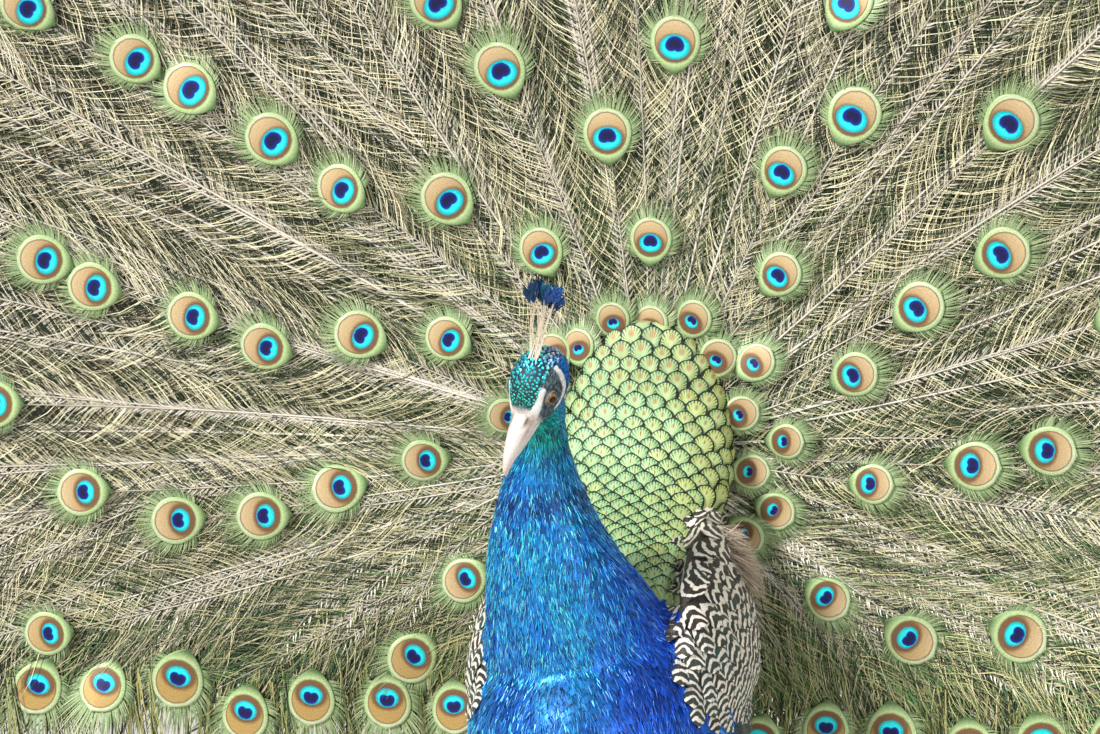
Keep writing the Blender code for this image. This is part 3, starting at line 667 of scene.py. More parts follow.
def eye_finish():
    """All lengths on the disc are in millimetres; inner rings shrink near the body and at the foot."""
    finish = Finish("eye_spot", 0.40, metallic=0.15, coat=0.05, coat_roughness=0.3, specular=0.25)
    across, along = finish.vane(EYE_SPREAD)
    along = along + (finish.noise(260.0) - 0.5) * 1.3
    width = finish.math("ABSOLUTE", across)
    x, _, z = finish.parts(finish.place())
    from_hub = finish.oval(x, z - FAN_HUB.z, 1.0, 1.0)
    shrink = finish.step(from_hub, 0.19, 0.10) * 0.60 + finish.step(z, 0.85, 0.48) * 0.28 + 1.0
    ring = finish.oval(across, along, 19.9, 20.6)
    tan = finish.oval(across, along - 0.2, 17.6, 18.4)
    brown = finish.oval(across, along + 5.9, 15.8, 13.0)
    turquoise = finish.oval(across, along + 4.7, 13.6, 10.9) * shrink
    navy = finish.oval(width - 2.1, along + width * 0.22 + 1.8, 6.3, 6.5) * shrink
    to_tip = finish.step(along, -6.0, 16.0)
    rim = finish.blend(to_tip, (0.50, 0.66, 0.31), (0.66, 0.72, 0.48))
    egg = finish.blend(to_tip, (0.42, 0.26, 0.115), (0.66, 0.50, 0.28))
    egg = finish.blend(finish.step(z, 0.37, 0.31), egg, (0.50, 0.335, 0.115))
    inner = finish.blend(finish.step(turquoise, 1.0, 0.72), (0.0, 0.38, 0.46), (0.03, 0.82, 0.86))
    heart = finish.blend(finish.step(navy, 1.0, 0.45), (0.004, 0.030, 0.36), (0.012, 0.010, 0.070))
    colour = finish.blend(finish.step(ring, 1.02, 1.30), (0.46, 0.62, 0.30), (0.11, 0.19, 0.07))
    for oval, outside, inside, paint in (
            (ring, 1.07, 0.98, rim), (tan, 1.05, 0.99, (0.17, 0.115, 0.055)), (tan, 1.00, 0.94, egg),
            (brown, 1.08, 0.86, (0.20, 0.11, 0.055)), (turquoise, 1.04, 0.97, inner),
            (navy, 1.12, 0.92, heart)):
        colour = finish.blend(finish.step(oval, outside, inside), colour, paint)
    comb = finish.node("ShaderNodeCombineXYZ", 0, {"X": (along - width * 1.1) * 1.6, "Y": width})
    barbs = finish.noise(1.0, 3.0, comb)
    colour = finish.scaled(colour, finish.step(barbs, 0.3, 0.7, to=(0.66, 1.26)))
    return finish.done(colour, barbs, 0.25, 0.0004)


EYE_FINISH = eye_finish()

# %% [markdown]
# The discs themselves: rows run along the shaft and columns across it. The outline swells from a point to
# its widest two thirds of the way up, then closes in a round tip. Eyes near the body are smaller.

# %% Model the eyes of the train
EYE_LENGTH = 0.0535
EYE_HALF_WIDTH = 0.0214
EYE_MIDDLE = 0.55               # share of the length at which the rings are centred
EYE_ROWS, EYE_COLUMNS = 17, 13


def eye_frames():
    """Middle, tipward, sideways and forward directions and the size of every eye."""
    front = unit(SHAFT_NORMAL[EYED, -1] + RNG.normal(0, 0.10, (len(EYED), 3)))
    tip = SHAFT_DIR[EYED, -1] + DOWNWARD * np.abs(DROOP[EYED])[:, None] * 0.75
    tip = unit(tip + RNG.normal(0, 0.05, (len(EYED), 3)))
    tip = unit(tip - front * (tip * front).sum(1, keepdims=True))
    size = (0.70 + 0.30 * ramp(EYE_RADIUS[EYED], 0.10, 0.30)) * RNG.normal(1, 0.035, len(EYED))
    return SHAFTS[EYED, -1], tip, np.cross(tip, front), front, size


EYE_FRAMES = eye_frames()


def build_eye_spots():
    middle, tip, out, front, size = [part[:, None, None] for part in EYE_FRAMES]
    share = np.linspace(0, 1, EYE_ROWS)[:, None]
    column = np.linspace(-1, 1, EYE_COLUMNS)
    half = 2.32 * EYE_HALF_WIDTH * share ** 0.75 * np.sqrt(1 - share) + 0.0004
    across = half * np.sin(column * math.pi / 2)
    along = EYE_LENGTH * (share - EYE_MIDDLE) - 0.0022 * column ** 2 * share
    dome = 0.0016 * (1 - column ** 2) + 0.0065
    points = (middle + (out * across[..., None] + tip * along[..., None]) * size[..., None]
              + front * dome[:, None])
    count = len(EYED)
    vane = 0.5 + np.stack([across, along], -1) / (EYE_SPREAD / 1000)
    grid = math.ceil(math.sqrt(count))
    cell = np.stack([np.arange(count) % grid, np.arange(count) // grid], -1)[:, None, None]
    bake = (cell + 0.03 + 0.94 * vane) / grid
    new_piece("train_eye_spots", points, [sheet_faces(*points.shape[:3])], EYE_FINISH, vane=vane, bake=bake)


build_eye_spots()

# %% [markdown]
# ## Fringe round each eye
# The barbs that make the disc don't stop at its edge: their loose ends stand round it as a fine green
# fringe, longest at the tip. Each is a ribbon of three points that starts on the rim of the disc.

# %% Grow the fringe
FRINGE_EACH = 112               # loose ends round one eye


def build_eye_fringe():
    middle, tip, out, front, size = [part[:, None, None] for part in EYE_FRAMES]
    shape = (len(EYED), FRINGE_EACH)
    turn = np.radians(np.linspace(-152, 152, FRINGE_EACH)) + RNG.normal(0, 0.03, shape)
    hang = np.abs(DROOP[EYED])[:, None] * np.clip(np.cos(turn), 0, 1)
    reach = (0.016 + 0.003 * np.cos(turn) + 0.014 * hang) * RNG.uniform(0.75, 1.2, shape)
    turn, share = turn[..., None], np.array([0.0, 0.5, 1.0])
    run = reach[..., None] * size * share
    right = np.sin(turn) * 0.0195 * size + np.sin(turn * 0.72) * run
    ahead = np.cos(turn) * 0.0200 * size + np.cos(turn * 0.72) * run + 0.22 * run * share
    path = (middle + out * right[..., None] + tip * ahead[..., None]
            + front * (0.0055 - 0.002 * share)[:, None]).reshape(-1, 3, 3)
    chance = RNG.random(len(path))
    outer = mix((0.20, 0.30, 0.12), (0.045, 0.085, 0.035), chance)
    outer = np.where((chance > 0.78)[:, None], (0.52, 0.58, 0.33), outer)
    inner = mix((0.44, 0.58, 0.30), (0.26, 0.38, 0.17), chance)
    new_ribbons("train_eye_fringe", path, side_of(path, np.repeat(front[:, 0], FRINGE_EACH, 0)),
                0.0013 * (1 - 0.6 * share), fan_unwrap(path[:, 0]),
                lambda along: mix(inner[:, None], outer[:, None], np.clip(along[:, 0] * 1.5, 0, 1)),
                BARB_FINISH)


build_eye_fringe()

# %% [markdown]
# ## Curtain of the lowest row
# Along the foot of the fan the barbs of the drooping feathers hang past their eyes like a gold-green curtain.
# They could be part of each feather's vane, but loose ribbons that sway a little look softer.

# %% Hang the curtain
CURTAIN_EACH = 170              # hanging barbs by one eye


def build_curtain():
    low = np.abs(DROOP[EYED]) > 0
    middle, _, out, front = [np.repeat(part[low], CURTAIN_EACH, 0) for part in EYE_FRAMES[:4]]
    count = len(middle)
    across = RNG.uniform(-1, 1, count)
    root = middle + out * (across * 0.050)[:, None] - DOWNWARD * RNG.uniform(-0.016, 0.045, (count, 1))
    root = root - front * RNG.uniform(0.0, 0.010, (count, 1))
    share = np.linspace(0, 1, 4)
    length = RNG.uniform(0.034, 0.078, count)
    sway = (across * 0.25 + RNG.normal(0, 0.10, count))[:, None] * share ** 1.5
    line = DOWNWARD * share[:, None] + out[:, None] * sway[..., None]
    path = root[:, None] + length[:, None, None] * line
    chance = RNG.random(count)
    shade = mix((0.50, 0.46, 0.17), (0.16, 0.26, 0.09), chance)
    shade = np.where((chance > 0.72)[:, None], (0.020, 0.030, 0.014), shade)
    new_ribbons("train_curtain", path, side_of(path, front[:, None]), 0.0012 * (1 - 0.6 * share),
                fan_unwrap(root), lambda along: shade[:, None], BARB_FINISH)


build_curtain()

# %% [markdown]
# ## One skin under the coat
# A bird's skin is one unbroken surface from head to vent. Here the solids of the flesh are swollen until they
# touch, melted into one surface with a voxel remesh, smoothed so that no seam is left, and drawn in by the
# depth of the coat. The bare face is cut finer than the rest, because its skin shows.

# %% The head's own axes
SHIFT = FAN_HUB.y - 0.130       # depths on the body are given as if the fan's hub were at y = 0.130
HEAD_CENTRE = np.array([-0.020, -0.205 + SHIFT, 0.621])
HEAD_TURN = np.array(Euler((math.radians(57), math.radians(8), math.radians(-20)), "XYZ").to_matrix())


def to_head(points):
    """Into the head's own axes: -y along the bill, +x to its left, +z through the crown."""
    return (np.asarray(points) - HEAD_CENTRE) @ HEAD_TURN


def from_head(points):
    return HEAD_CENTRE + np.asarray(points) @ HEAD_TURN.T


# %% Join the flesh into one skin
SEAM_SWELL = 0.0008
SKIN_VOXEL = 0.0040
FACE_REACH = 0.036              # the finely cut part of the skin lies this close to the middle of the head


def remeshed_flesh():
    bm = bmesh.new()
    for name in FLESH_NODES:
        bm.from_mesh(NODES[name].data)
    bmesh.ops.remove_doubles(bm, verts=bm.verts, dist=0.00001)
    bm.normal_update()
    for vert in bm.verts:
        vert.co += vert.normal * SEAM_SWELL
    mesh = bpy.data.meshes.new("flesh")
    bm.to_mesh(mesh)
    bm.free()
    solid = link(bpy.data.objects.new("flesh", mesh))
    remesh = solid.modifiers.new("melt", "REMESH")
    remesh.mode = "VOXEL"
    remesh.voxel_size = SKIN_VOXEL
    smooth = solid.modifiers.new("smooth", "SMOOTH")
    smooth.factor = 0.5
    smooth.iterations = 5
    made = bpy.data.meshes.new_from_object(solid.evaluated_get(bpy.context.evaluated_depsgraph_get()))
    bpy.data.objects.remove(solid)
    return made


def refine_face(mesh):
    """Cut the skin of the head twice finer, and close its edge off with triangles."""
    bm = bmesh.new()
    bm.from_mesh(mesh)
    for reach in (FACE_REACH + 0.006, FACE_REACH):
        local = to_head([v.co[:] for v in bm.verts])
        near = np.linalg.norm(local - np.array([0, -0.006, 0]), axis=1) < reach
        bm.verts.index_update()
        edges = [e for e in bm.edges if near[e.verts[0].index] and near[e.verts[1].index]]
        bmesh.ops.subdivide_edges(bm, edges=edges, cuts=1, use_grid_fill=True, smooth=0.0)
    bmesh.ops.triangulate(bm, faces=[f for f in bm.faces if len(f.verts) > 4])
    for _ in range(2):
        near = np.linalg.norm(to_head([v.co[:] for v in bm.verts]), axis=1) < FACE_REACH
        bmesh.ops.smooth_vert(bm, verts=[v for v, inside in zip(bm.verts, near) if inside], factor=0.5,
                              use_axis_x=True, use_axis_y=True, use_axis_z=True)
    bm.to_mesh(mesh)
    bm.free()


SKIN = remeshed_flesh()
refine_face(SKIN)
print("skin:", len(SKIN.vertices), "points")

# %% [markdown]
# ## Markings
# The skin and the coat share one set of markings, written as functions of place. Each takes points and gives
# colours, so a feather takes the colour of the spot that it grows from. The bare face has two white stripes,
# given in the head's own axes: one from the bill over the eye, the other round behind and below it.

# %% Stripes of the face
STRIPES = [                     # half width, then points of the line as y and z in the head's axes
    (0.0023, [(-0.0310, 0.0030), (-0.0200, 0.0105), (-0.0125, 0.0146)]),
    (0.0029, [(0.0100, 0.0130), (0.0058, 0.0062), (0.0015, -0.0020), (-0.0052, -0.0064),
              (-0.0135, -0.0082)]),
]
STRIPE_BLUR = 0.0007


def line_distance(flat, line):
    """Distance of 2-D points from a bent line."""
    best = np.full(len(flat), 1e9)
    for a, b in zip(np.array(line[:-1]), np.array(line[1:])):
        share = np.clip(((flat - a) @ (b - a)) / ((b - a) @ (b - a)), 0, 1)
        best = np.minimum(best, np.linalg.norm(flat - a - share[:, None] * (b - a), axis=1))
    return best


def stripe_share(local):
    """1 on the white stripes of the bare face."""
    shares = [ramp(line_distance(local[:, 1:], line), half + STRIPE_BLUR, half) for half, line in STRIPES]
    return np.maximum(*shares) * ramp(np.abs(local[:, 0]), 0.004, 0.008)


def crown_edge(y):
    """Height in the head's axes above which the crown feathers grow."""
    return np.interp(y, [-0.034, -0.0200, -0.0110, 0.0010, 0.0100, 0.0180, 0.0260],
                     [0.0060, 0.0125, 0.0172, 0.0180, 0.0150, 0.0080, 0.0000])


# %% Which feathers grow where
BLUE, MANTLE, WING, UNDER, CROWN, BARE, RUMP = range(7)
FACE_FRONT = -0.0275            # ahead of this the head is all bare, up to the bill


def flesh_tree():
    """One search tree over all the flesh solids, and the name of the solid that owns each face."""
    points, faces, owner = [], [], []
    for name in FLESH_NODES:
        mesh = NODES[name].data
        faces += [[len(points) + i for i in polygon.vertices] for polygon in mesh.polygons]
        points += [v.co[:] for v in mesh.vertices]
        owner += [name] * len(mesh.polygons)
    return BVHTree.FromPolygons(points, faces), np.array(owner)


FLESH_TREE, FLESH_OWNER = flesh_tree()


def region_of(points):
    """The part of the coat at each point, by the nearest solid and then by place."""
    names = FLESH_OWNER[[FLESH_TREE.find_nearest(p)[2] for p in points.tolist()]]
    out, back, z = np.abs(points[:, 0]), points[:, 1] - SHIFT, points[:, 2]
    region = np.full(len(points), BLUE)
    trunk = names == "trunk"
    flank = 0.020 - 0.085 * ramp(out, 0.066, 0.090) - 1.2 * np.clip(0.34 - z, 0, 0.1)
    region[trunk & (back > flank) & (z < 0.40)] = UNDER
    region[trunk & (back > 0.060)] = UNDER
    region[names == "mantle"] = MANTLE
    shoulder = (trunk | (names == "neck_lower")) & (out > 0.022) & (back > -0.108) & (z > 0.365)
    shoulder &= (z > 0.375 + 0.55 * (0.062 - out)) & (back > -0.085 + 0.9 * np.clip(0.05 - out, 0, 1))
    region[shoulder] = MANTLE
    region[np.char.startswith(names, "wing")] = WING
    region[np.char.startswith(names, "thigh") | (names == "undertail")] = UNDER
    region[(region == MANTLE) & (back > 0.114)] = RUMP
    region[(region != WING) & (back > 0.040) & (z < 0.40 + 0.04 * ramp(back, 0.060, 0.075))] = UNDER
    local = to_head(points)
    _, y, z = local.T
    above = z > crown_edge(y)
    cheek = (y < np.interp(z, [-0.012, -0.006, 0.004, 0.016], [-0.006, 0.0010, 0.0088, 0.0125])) & (
        z > -0.0112) & (y > -0.040) & (np.linalg.norm(local, axis=1) < 0.045)
    region[(names == "head") & above & (y > FACE_FRONT)] = CROWN
    region[(names == "head") & (~above & cheek | (y < FACE_FRONT))] = BARE
    return region


# %% Colours of the blue plumage
# Cyan stands for the glints of the iridescent feathers (painted highlight). Cobalt stands for the side away
# from the key lamp, and night blue for shadow (painted shade).
BLUE_CYAN_HIGHLIGHT = (0.018, 0.46, 1.0)
BLUE_AZURE = (0.008, 0.22, 1.0)
BLUE_COBALT_SHADE = (0.006, 0.115, 1.0)
BLUE_NIGHT_SHADE = (0.003, 0.018, 0.15)
BLUE_THROAT = (0.006, 0.07, 0.62)
TEAL = (0.006, 0.34, 0.30)
TURQUOISE = (0.012, 0.33, 0.50)


def ripple(points, size, seed):
    """A smooth wandering field between about -1 and 1 whose lumps are (size) metres across."""
    waves = np.random.default_rng(seed).normal(0, 1, (7, 3)) * (2.2 / size)
    phases = np.random.default_rng(seed + 1).uniform(0, 6.28, 7)
    return np.sin(points @ waves.T + phases).sum(1) / 3.2


def plumage_blue(points):
    """Neck and breast: teal throat, a dark band of painted shadow under it, azure with painted cyan
    highlights that are strongest on the lit side, and painted cobalt shade on the bird's left.
    """
    x, _, z = points.T
    lit = ramp(z, 0.38, 0.47) * ramp(z, 0.53, 0.49)
    shadow_band = np.exp(-((z - 0.531 - 0.1 * (x + 0.03)) / 0.011) ** 2)
    throat = ramp(z, 0.548, 0.575)
    colour = mix(BLUE_AZURE, BLUE_CYAN_HIGHLIGHT, ramp(ripple(points, 0.030, 3), -0.5, 1.0) * 0.75)
    # Painted light in this list: cyan on the lit right side, cobalt shade on the bird's left and the
    # night-blue shadow band. Turquoise, azure and the throat colours are the plumage's own.
    for paint, share in (
            (BLUE_CYAN_HIGHLIGHT, 0.45 * lit * ramp(x, 0.01, -0.05)),
            (BLUE_COBALT_SHADE, 0.85 * ramp(x - 0.10 * (0.50 - z), -0.012, 0.040) * ramp(z, 0.545, 0.51)),
            (TURQUOISE, 0.6 * ramp(z, 0.345, 0.28)),
            (BLUE_NIGHT_SHADE, 0.75 * shadow_band),
            (BLUE_AZURE, 0.6 * ramp(z, 0.54, 0.555)),
            (TEAL, throat * ramp(x, 0.004, -0.012)),
            (BLUE_THROAT, 0.60 * throat * ramp(x, -0.012, 0.004))):
        colour = mix(colour, paint, share)
    return colour


# %% Colours of the skin
DOWN_DARK = (0.016, 0.018, 0.017)
# Skin colours under each part of the coat, darker than the feathers over them: painted shade beneath the
# coat, except the down's own near-black.
SKIN_SHADES = {MANTLE: (0.045, 0.075, 0.022), WING: (0.035, 0.028, 0.022), UNDER: DOWN_DARK,
               CROWN: (0.003, 0.030, 0.040), RUMP: (0.02, 0.05, 0.02)}


def skin_tint(points, region):
    """Dark colours under the coat, standing for the shade beneath the feathers, and on the bare face the
    stripes and a pale root of the bill.
    """
    # Painted shade: beneath the coat the skin is the plumage's blue at 0.45.
    colour = plumage_blue(points) * 0.45
    local = to_head(points)
    bare = mix((0.010, 0.020, 0.030), (0.13, 0.22, 0.27), ramp(ripple(points, 0.0018, 5), -0.4, 1.1))
    white = mix((0.80, 0.79, 0.77), (0.90, 0.90, 0.89), ramp(ripple(points, 0.004, 6), -1, 1))
    face = mix(bare, white, stripe_share(local))
    root = ramp(local[:, 1], -0.0262, -0.0290) * ramp(np.abs(local[:, 0]), 0.016, 0.010)
    face = mix(face, (0.74, 0.66, 0.62), root * ramp(local[:, 2], 0.012, 0.007))
    for code, shade in SKIN_SHADES.items():
        colour[region == code] = shade
    colour[region == BARE] = face[region == BARE]
    return colour


# %% [markdown]
# The skin is now drawn in along its normals: by the depth of the feathers on the body, less on the legs, and
# hardly at all on the bare face. There it also gets its relief, a hollow at each eye under a raised brow and
# a soft cheek. A few bumps that fade with distance do this more evenly than moving points by hand.

# %% Draw the skin in under the coat
COAT_DEPTH = 0.0034
FACE_DEPTH = 0.0006
RELIEF = [                      # place on the left side of the head, how far it reaches and how high it is
    (0.0205, -0.0115, 0.0050, 0.0062, -0.0022),
    (0.0175, -0.0120, 0.0140, 0.0060, 0.0010),
    (0.0170, -0.0100, -0.0060, 0.0060, 0.0008),
]


def read_vectors(mesh, key):
    flat = np.empty(len(mesh.vertices) * 3, np.float32)
    mesh.vertices.foreach_get(key, flat)
    return flat.reshape(-1, 3).astype(float)


def settle_skin():
    SKIN.update()
    points, normals = read_vectors(SKIN, "co"), read_vectors(SKIN, "normal")
    region, local = region_of(points), to_head(points)
    face = ramp(np.linalg.norm(local - np.array([0, -0.012, 0]), axis=1), 0.050, 0.028)
    legs = ramp(points[:, 2], 0.20, 0.24)
    depth = COAT_DEPTH * (0.45 + 0.55 * legs) * (1 - face) + FACE_DEPTH * face
    points = points - normals * depth[:, None]
    for side in (-1, 1):
        for x, y, z, reach, height in RELIEF:
            away = np.linalg.norm(local - np.array([side * x, y, z]), axis=1)
            points += normals * (height * np.exp(-(away / reach) ** 2))[:, None]
    SKIN.vertices.foreach_set("co", points.astype(np.float32).ravel())
    SKIN.update()
    add_tint(SKIN, skin_tint(points, region))
    SKIN.shade_smooth()
    SKIN.materials.clear()
    SKIN.materials.append(feather_finish("bare_skin", 0.5, coat=0.15, streak=0.22, grain=1500.0, bump=0.5))
    SKIN.name = "skin"
    skin = link(bpy.data.objects.new("skin", SKIN))
    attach(skin, "root")
    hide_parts(*FLESH_NODES)
    faces = [list(p.vertices) for p in SKIN.polygons]
    print("%-22s %7d triangles" % ("skin", sum(len(face) - 2 for face in faces)))
    return BVHTree.FromPolygons(points.tolist(), faces), points, faces


SKIN_TREE, SKIN_POINTS, SKIN_FACES = settle_skin()

# %% [markdown]
# ## Where feathers grow
# Feathers stand evenly, in no straight rows. Random places on the skin are taken one after another, and one
# is kept only if no kept place is nearer than the spacing. Each feather then lies along a flow: down the
# neck, back and down the body, up the raised mantle. That is what makes a coat look combed, not scattered.

# %% Scatter roots
def surface_samples(count, head_only=False):
    """Random places on the skin, spread by area, with the skin's normal there."""
    corners = np.array([(face[0], face[k], face[k + 1])
                        for face in SKIN_FACES for k in range(1, len(face) - 1)])
    a, b, c = [SKIN_POINTS[index] for index in corners.T]
    normal = np.cross(b - a, c - a)
    area = np.linalg.norm(normal, axis=1)
    if head_only:
        area = area * (np.linalg.norm(to_head(a), axis=1) < 0.042)
    chosen = RNG.choice(len(area), count, p=area / area.sum())
    u, v = RNG.random((2, count, 1))
    swap = u + v > 1
    u, v = np.where(swap, 1 - u, u), np.where(swap, 1 - v, v)
    return a[chosen] + (b - a)[chosen] * u + (c - a)[chosen] * v, unit(normal[chosen])


SAMPLES, SAMPLE_NORMALS = [np.concatenate(both) for both in zip(
    surface_samples(130000), surface_samples(26000, head_only=True))]
SAMPLE_REGION = region_of(SAMPLES)
print("samples by region:", np.bincount(SAMPLE_REGION))


def thinned(where, spacing):
    """Of the samples that the mask (where) picks, those that keep (spacing) from each other. Spacing is one
    number, or one for each sample."""
    chosen = np.nonzero(where)[0]
    spacing = np.broadcast_to(spacing, len(SAMPLES))[chosen]
    places = SAMPLES[chosen]
    cells = np.floor(places / float(spacing.max())).astype(int).tolist()
    around = [(i, j, k) for i in (-1, 0, 1) for j in (-1, 0, 1) for k in (-1, 0, 1)]
    grid, kept = {}, []
    rows = zip(places.tolist(), cells, (spacing ** 2).tolist())
    for number, ((x, y, z), (i, j, k), room) in enumerate(rows):
        crowd = [place for a, b, c in around for place in grid.get((i + a, j + b, k + c), ())]
        if all((x - p) ** 2 + (y - q) ** 2 + (z - r) ** 2 >= room for p, q, r in crowd):
            grid.setdefault((i, j, k), []).append((x, y, z))
            kept.append(number)
    return chosen[kept]


# %% Comb them
NECK_LINE = np.array([(-0.004, -0.066, 0.335), (-0.012, -0.100, 0.392), (-0.022, -0.128, 0.443),
                      (-0.029, -0.146, 0.490), (-0.030, -0.158, 0.535), (-0.026, -0.169, 0.572),
                      (-0.022, -0.181, 0.598), (-0.020, -0.202, 0.612)]) + np.array([0, SHIFT, 0])


def from_neck_line(points):
    """The level step to each point from the middle of the neck at its height."""
    centre = [np.interp(points[..., 2], NECK_LINE[:, 2], NECK_LINE[:, k]) for k in (0, 1)]
    return points[..., :2] - np.stack(centre, -1)


def flow_of(points, normals, region):
    """Which way a feather points at each place, lying in the skin."""
    z, level = points[:, 2], np.ones(len(points))
    axis = -unit(np.diff(NECK_LINE, axis=0))
    middle = (NECK_LINE[1:, 2] + NECK_LINE[:-1, 2]) / 2
    down_neck = np.stack([np.interp(z, middle, axis[:, k]) for k in range(3)], 1)
    front = ramp(-normals[:, 1], 0.25, 0.70)
    upward = ramp(normals[:, 2], 0.45, 0.85)
    body = mix((0, 0.75, -0.66), (0, -0.50, -0.86), front)
    body = mix(body, np.column_stack([unit(from_neck_line(points)), -0.35 * level]), upward)
    flow = mix(body, down_neck, ramp(z, 0.37, 0.45))
    flow[region == MANTLE] = (0, 0.62, 0.78)
    flow[region == RUMP] = (0, 0.55, 0.83)
    wing = region == WING
    down_wing = mix((0, 0.30, -0.92), (0, -0.45, -0.89), front)
    out_wing = np.column_stack([0.55 * np.sign(points[:, 0]), 0.80 * level, -0.25 * level])
    flow[wing] = mix(down_wing, out_wing, np.maximum(0.30 * ramp(z, 0.43, 0.35) * (1 - front), upward))[wing]
    low = region == UNDER
    flow[low] = (0, 0.80, -0.60)
    flow[low & (z < 0.29)] = (0, 0.35, -0.93)
    vent = low & (points[:, 1] - SHIFT > 0.15)
    spread = points[vent] - np.array([0, 0.150 + SHIFT, 0.470])
    spread[:, 1] = 0.03
    flow[vent] = unit(spread)
    nape = (np.linalg.norm(to_head(points), axis=1) < 0.040) & (region == BLUE)
    flow[nape] = mix(down_neck, HEAD_TURN @ np.array([0, 0.85, -0.45]), 0.6)[nape]
    flow[(region == CROWN) | (region == BARE)] = HEAD_TURN @ np.array([0, 1.0, 0.15])
    return unit(flow - normals * (flow * normals).sum(1, keepdims=True))


def turned(flow, normals, angle):
    """Turn each flow direction in the skin by an angle in radians."""
    return flow * np.cos(angle)[:, None] + np.cross(normals, flow) * np.sin(angle)[:, None]


def combed(roots, wander):
    """Places, normals and flows of the roots, each flow turned by its angle (wander)."""
    place, normals = SAMPLES[roots], SAMPLE_NORMALS[roots]
    return place, normals, turned(flow_of(place, normals, SAMPLE_REGION[roots]), normals, wander)


# %% Lay vanes and strands on the skin
def laid_path(root, normals, flow, length, steps, lift, start=0.0002):
    """Lines from each root along its flow that keep close over the skin and rise to (lift) at their tips."""
    share = np.linspace(0, 1, steps)
    ahead = root[:, None] + flow[:, None] * (length[:, None] * share)[..., None]
    nearest = np.array([SKIN_TREE.find_nearest(place)[:2] for place in ahead.reshape(-1, 3).tolist()])
    found, tops = np.moveaxis(nearest.reshape(len(root), steps, 2, 3), 2, 0)
    tops = unit(tops * 0.6 + normals[:, None] * 0.4)
    height = start + np.broadcast_to(lift, len(root))[:, None] * share ** 1.15
    return found + tops * height[..., None], tops, share


def skin_unwrap(points):
    """OFBake places on an unwrap of the body: round its own axis one way, along it the other."""
    x, y = np.moveaxis(from_neck_line(points), -1, 0)
    return np.stack([0.5 + 0.96 * np.arctan2(x, -y) / (2 * math.pi),
                     0.02 + 0.96 * (points[..., 2] - 0.10) / 0.56], -1)


def new_vanes(name, place, normals, flow, length, width, lift, rows, columns, finish, tint,
              camber=0.0008, outline=0.75, reach=1.0):
    """A feather vane at each place, widest at the share (outline). The Vane map ends at (reach), and tint
    takes the share along and gives colours that spread over (n,rows,columns,3)."""
    centre, tops, share = laid_path(place, normals, flow, length, rows, lift)
    column = np.linspace(-1, 1, columns)
    rise = np.sin(np.clip(share / outline, 0, 1) * math.pi / 2) ** 0.6 * 0.92 + 0.08
    fall = np.sqrt(np.clip(1 - ((share - outline) / (1 - outline)) ** 2, 0, 1))
    swell = np.clip(np.where(share < outline, rise, fall), 0.04, 1)[:, None]
    half = width[:, None, None] / 2 * swell * column
    points = (centre[:, :, None] + side_of(centre, tops)[:, :, None] * half[..., None]
              - tops[:, :, None] * (camber * column ** 2 * swell)[..., None])
    vane = np.stack(np.broadcast_arrays(0.5 + 0.5 * swell * column, share[:, None]), -1)
    bake = skin_unwrap(place)[:, None, None] + PATCH * vane
    vane = vane * np.stack(np.broadcast_arrays(1.0, reach), -1).reshape(-1, 1, 1, 2)
    return new_piece(name, points, [sheet_faces(*points.shape[:3])], finish, tint(share[:, None, None]),
                     vane, bake)


def strands(roots, each, spread, length, wander, lift, width, steps=4, start=0.0005):
    """Fine strands near each root: their paths, sides and widths, and the places they grow from."""
    def varied(values, low, high):
        return np.repeat(np.broadcast_to(values, len(roots)), each) * RNG.uniform(low, high, len(place))

    homes = np.repeat(roots, each)
    turn = 0.38 * ripple(SAMPLES[homes], 0.035, 11) + RNG.normal(0, wander, len(homes))
    place, normals, flow = combed(homes, turn)
    side = np.cross(normals, flow)
    place = place + side * RNG.uniform(-1, 1, (len(place), 1)) * spread
    place = place + flow * RNG.uniform(-1, 1, (len(place), 1)) * spread
    length, lift = varied(length, 0.7, 1.25), varied(lift, 0.4, 1.3)
    path, tops, share = laid_path(place, normals, flow, length, steps, lift, start)
    width = varied(width, 0.7, 1.3)[:, None] * (1 - 0.6 * share ** 2)
    roll = unit(tops + side[:, None] * RNG.normal(0, 0.55, (len(place), 1, 1)))
    return path, side_of(path, roll), width * (0.6 + 0.4 * np.minimum(share * 4, 1)), place

# %% [markdown]
# ## Neck and breast
# The blue feathers of the neck are small, and their barbs don't hook together, so the neck looks like combed
# silk, not like scales. Broad vanes lie below as ground, their blue dimmed as painted shade under the
# strands, and over each lie fine glossy strands in the same flow, a little off it and off each other in
# height, so that light breaks into threads.

# %% Grow the blue plumage
STRANDS_EACH = 10               # strands at one root


def build_blue_ground(roots):
    body = ramp(np.linalg.norm(to_head(SAMPLES[roots]), axis=1), 0.036, 0.070)
    place, normals, flow = combed(roots, 0.30 * ripple(SAMPLES[roots], 0.05, 11))
    # Painted shade: the ground takes the plumage's blue dimmed to 0.30 to 0.75, for the shade under the
    # strands.
    shade = plumage_blue(place) * RNG.uniform(0.30, 0.75, (len(roots), 1))
    new_vanes("coat_blue_ground", place, normals, flow, 0.006 + 0.010 * body, 0.004 + 0.006 * body,
              0.0006 + 0.0012 * body, 4, 3, SILK_FINISH,
              lambda along: shade[:, None, None], camber=0.0005)


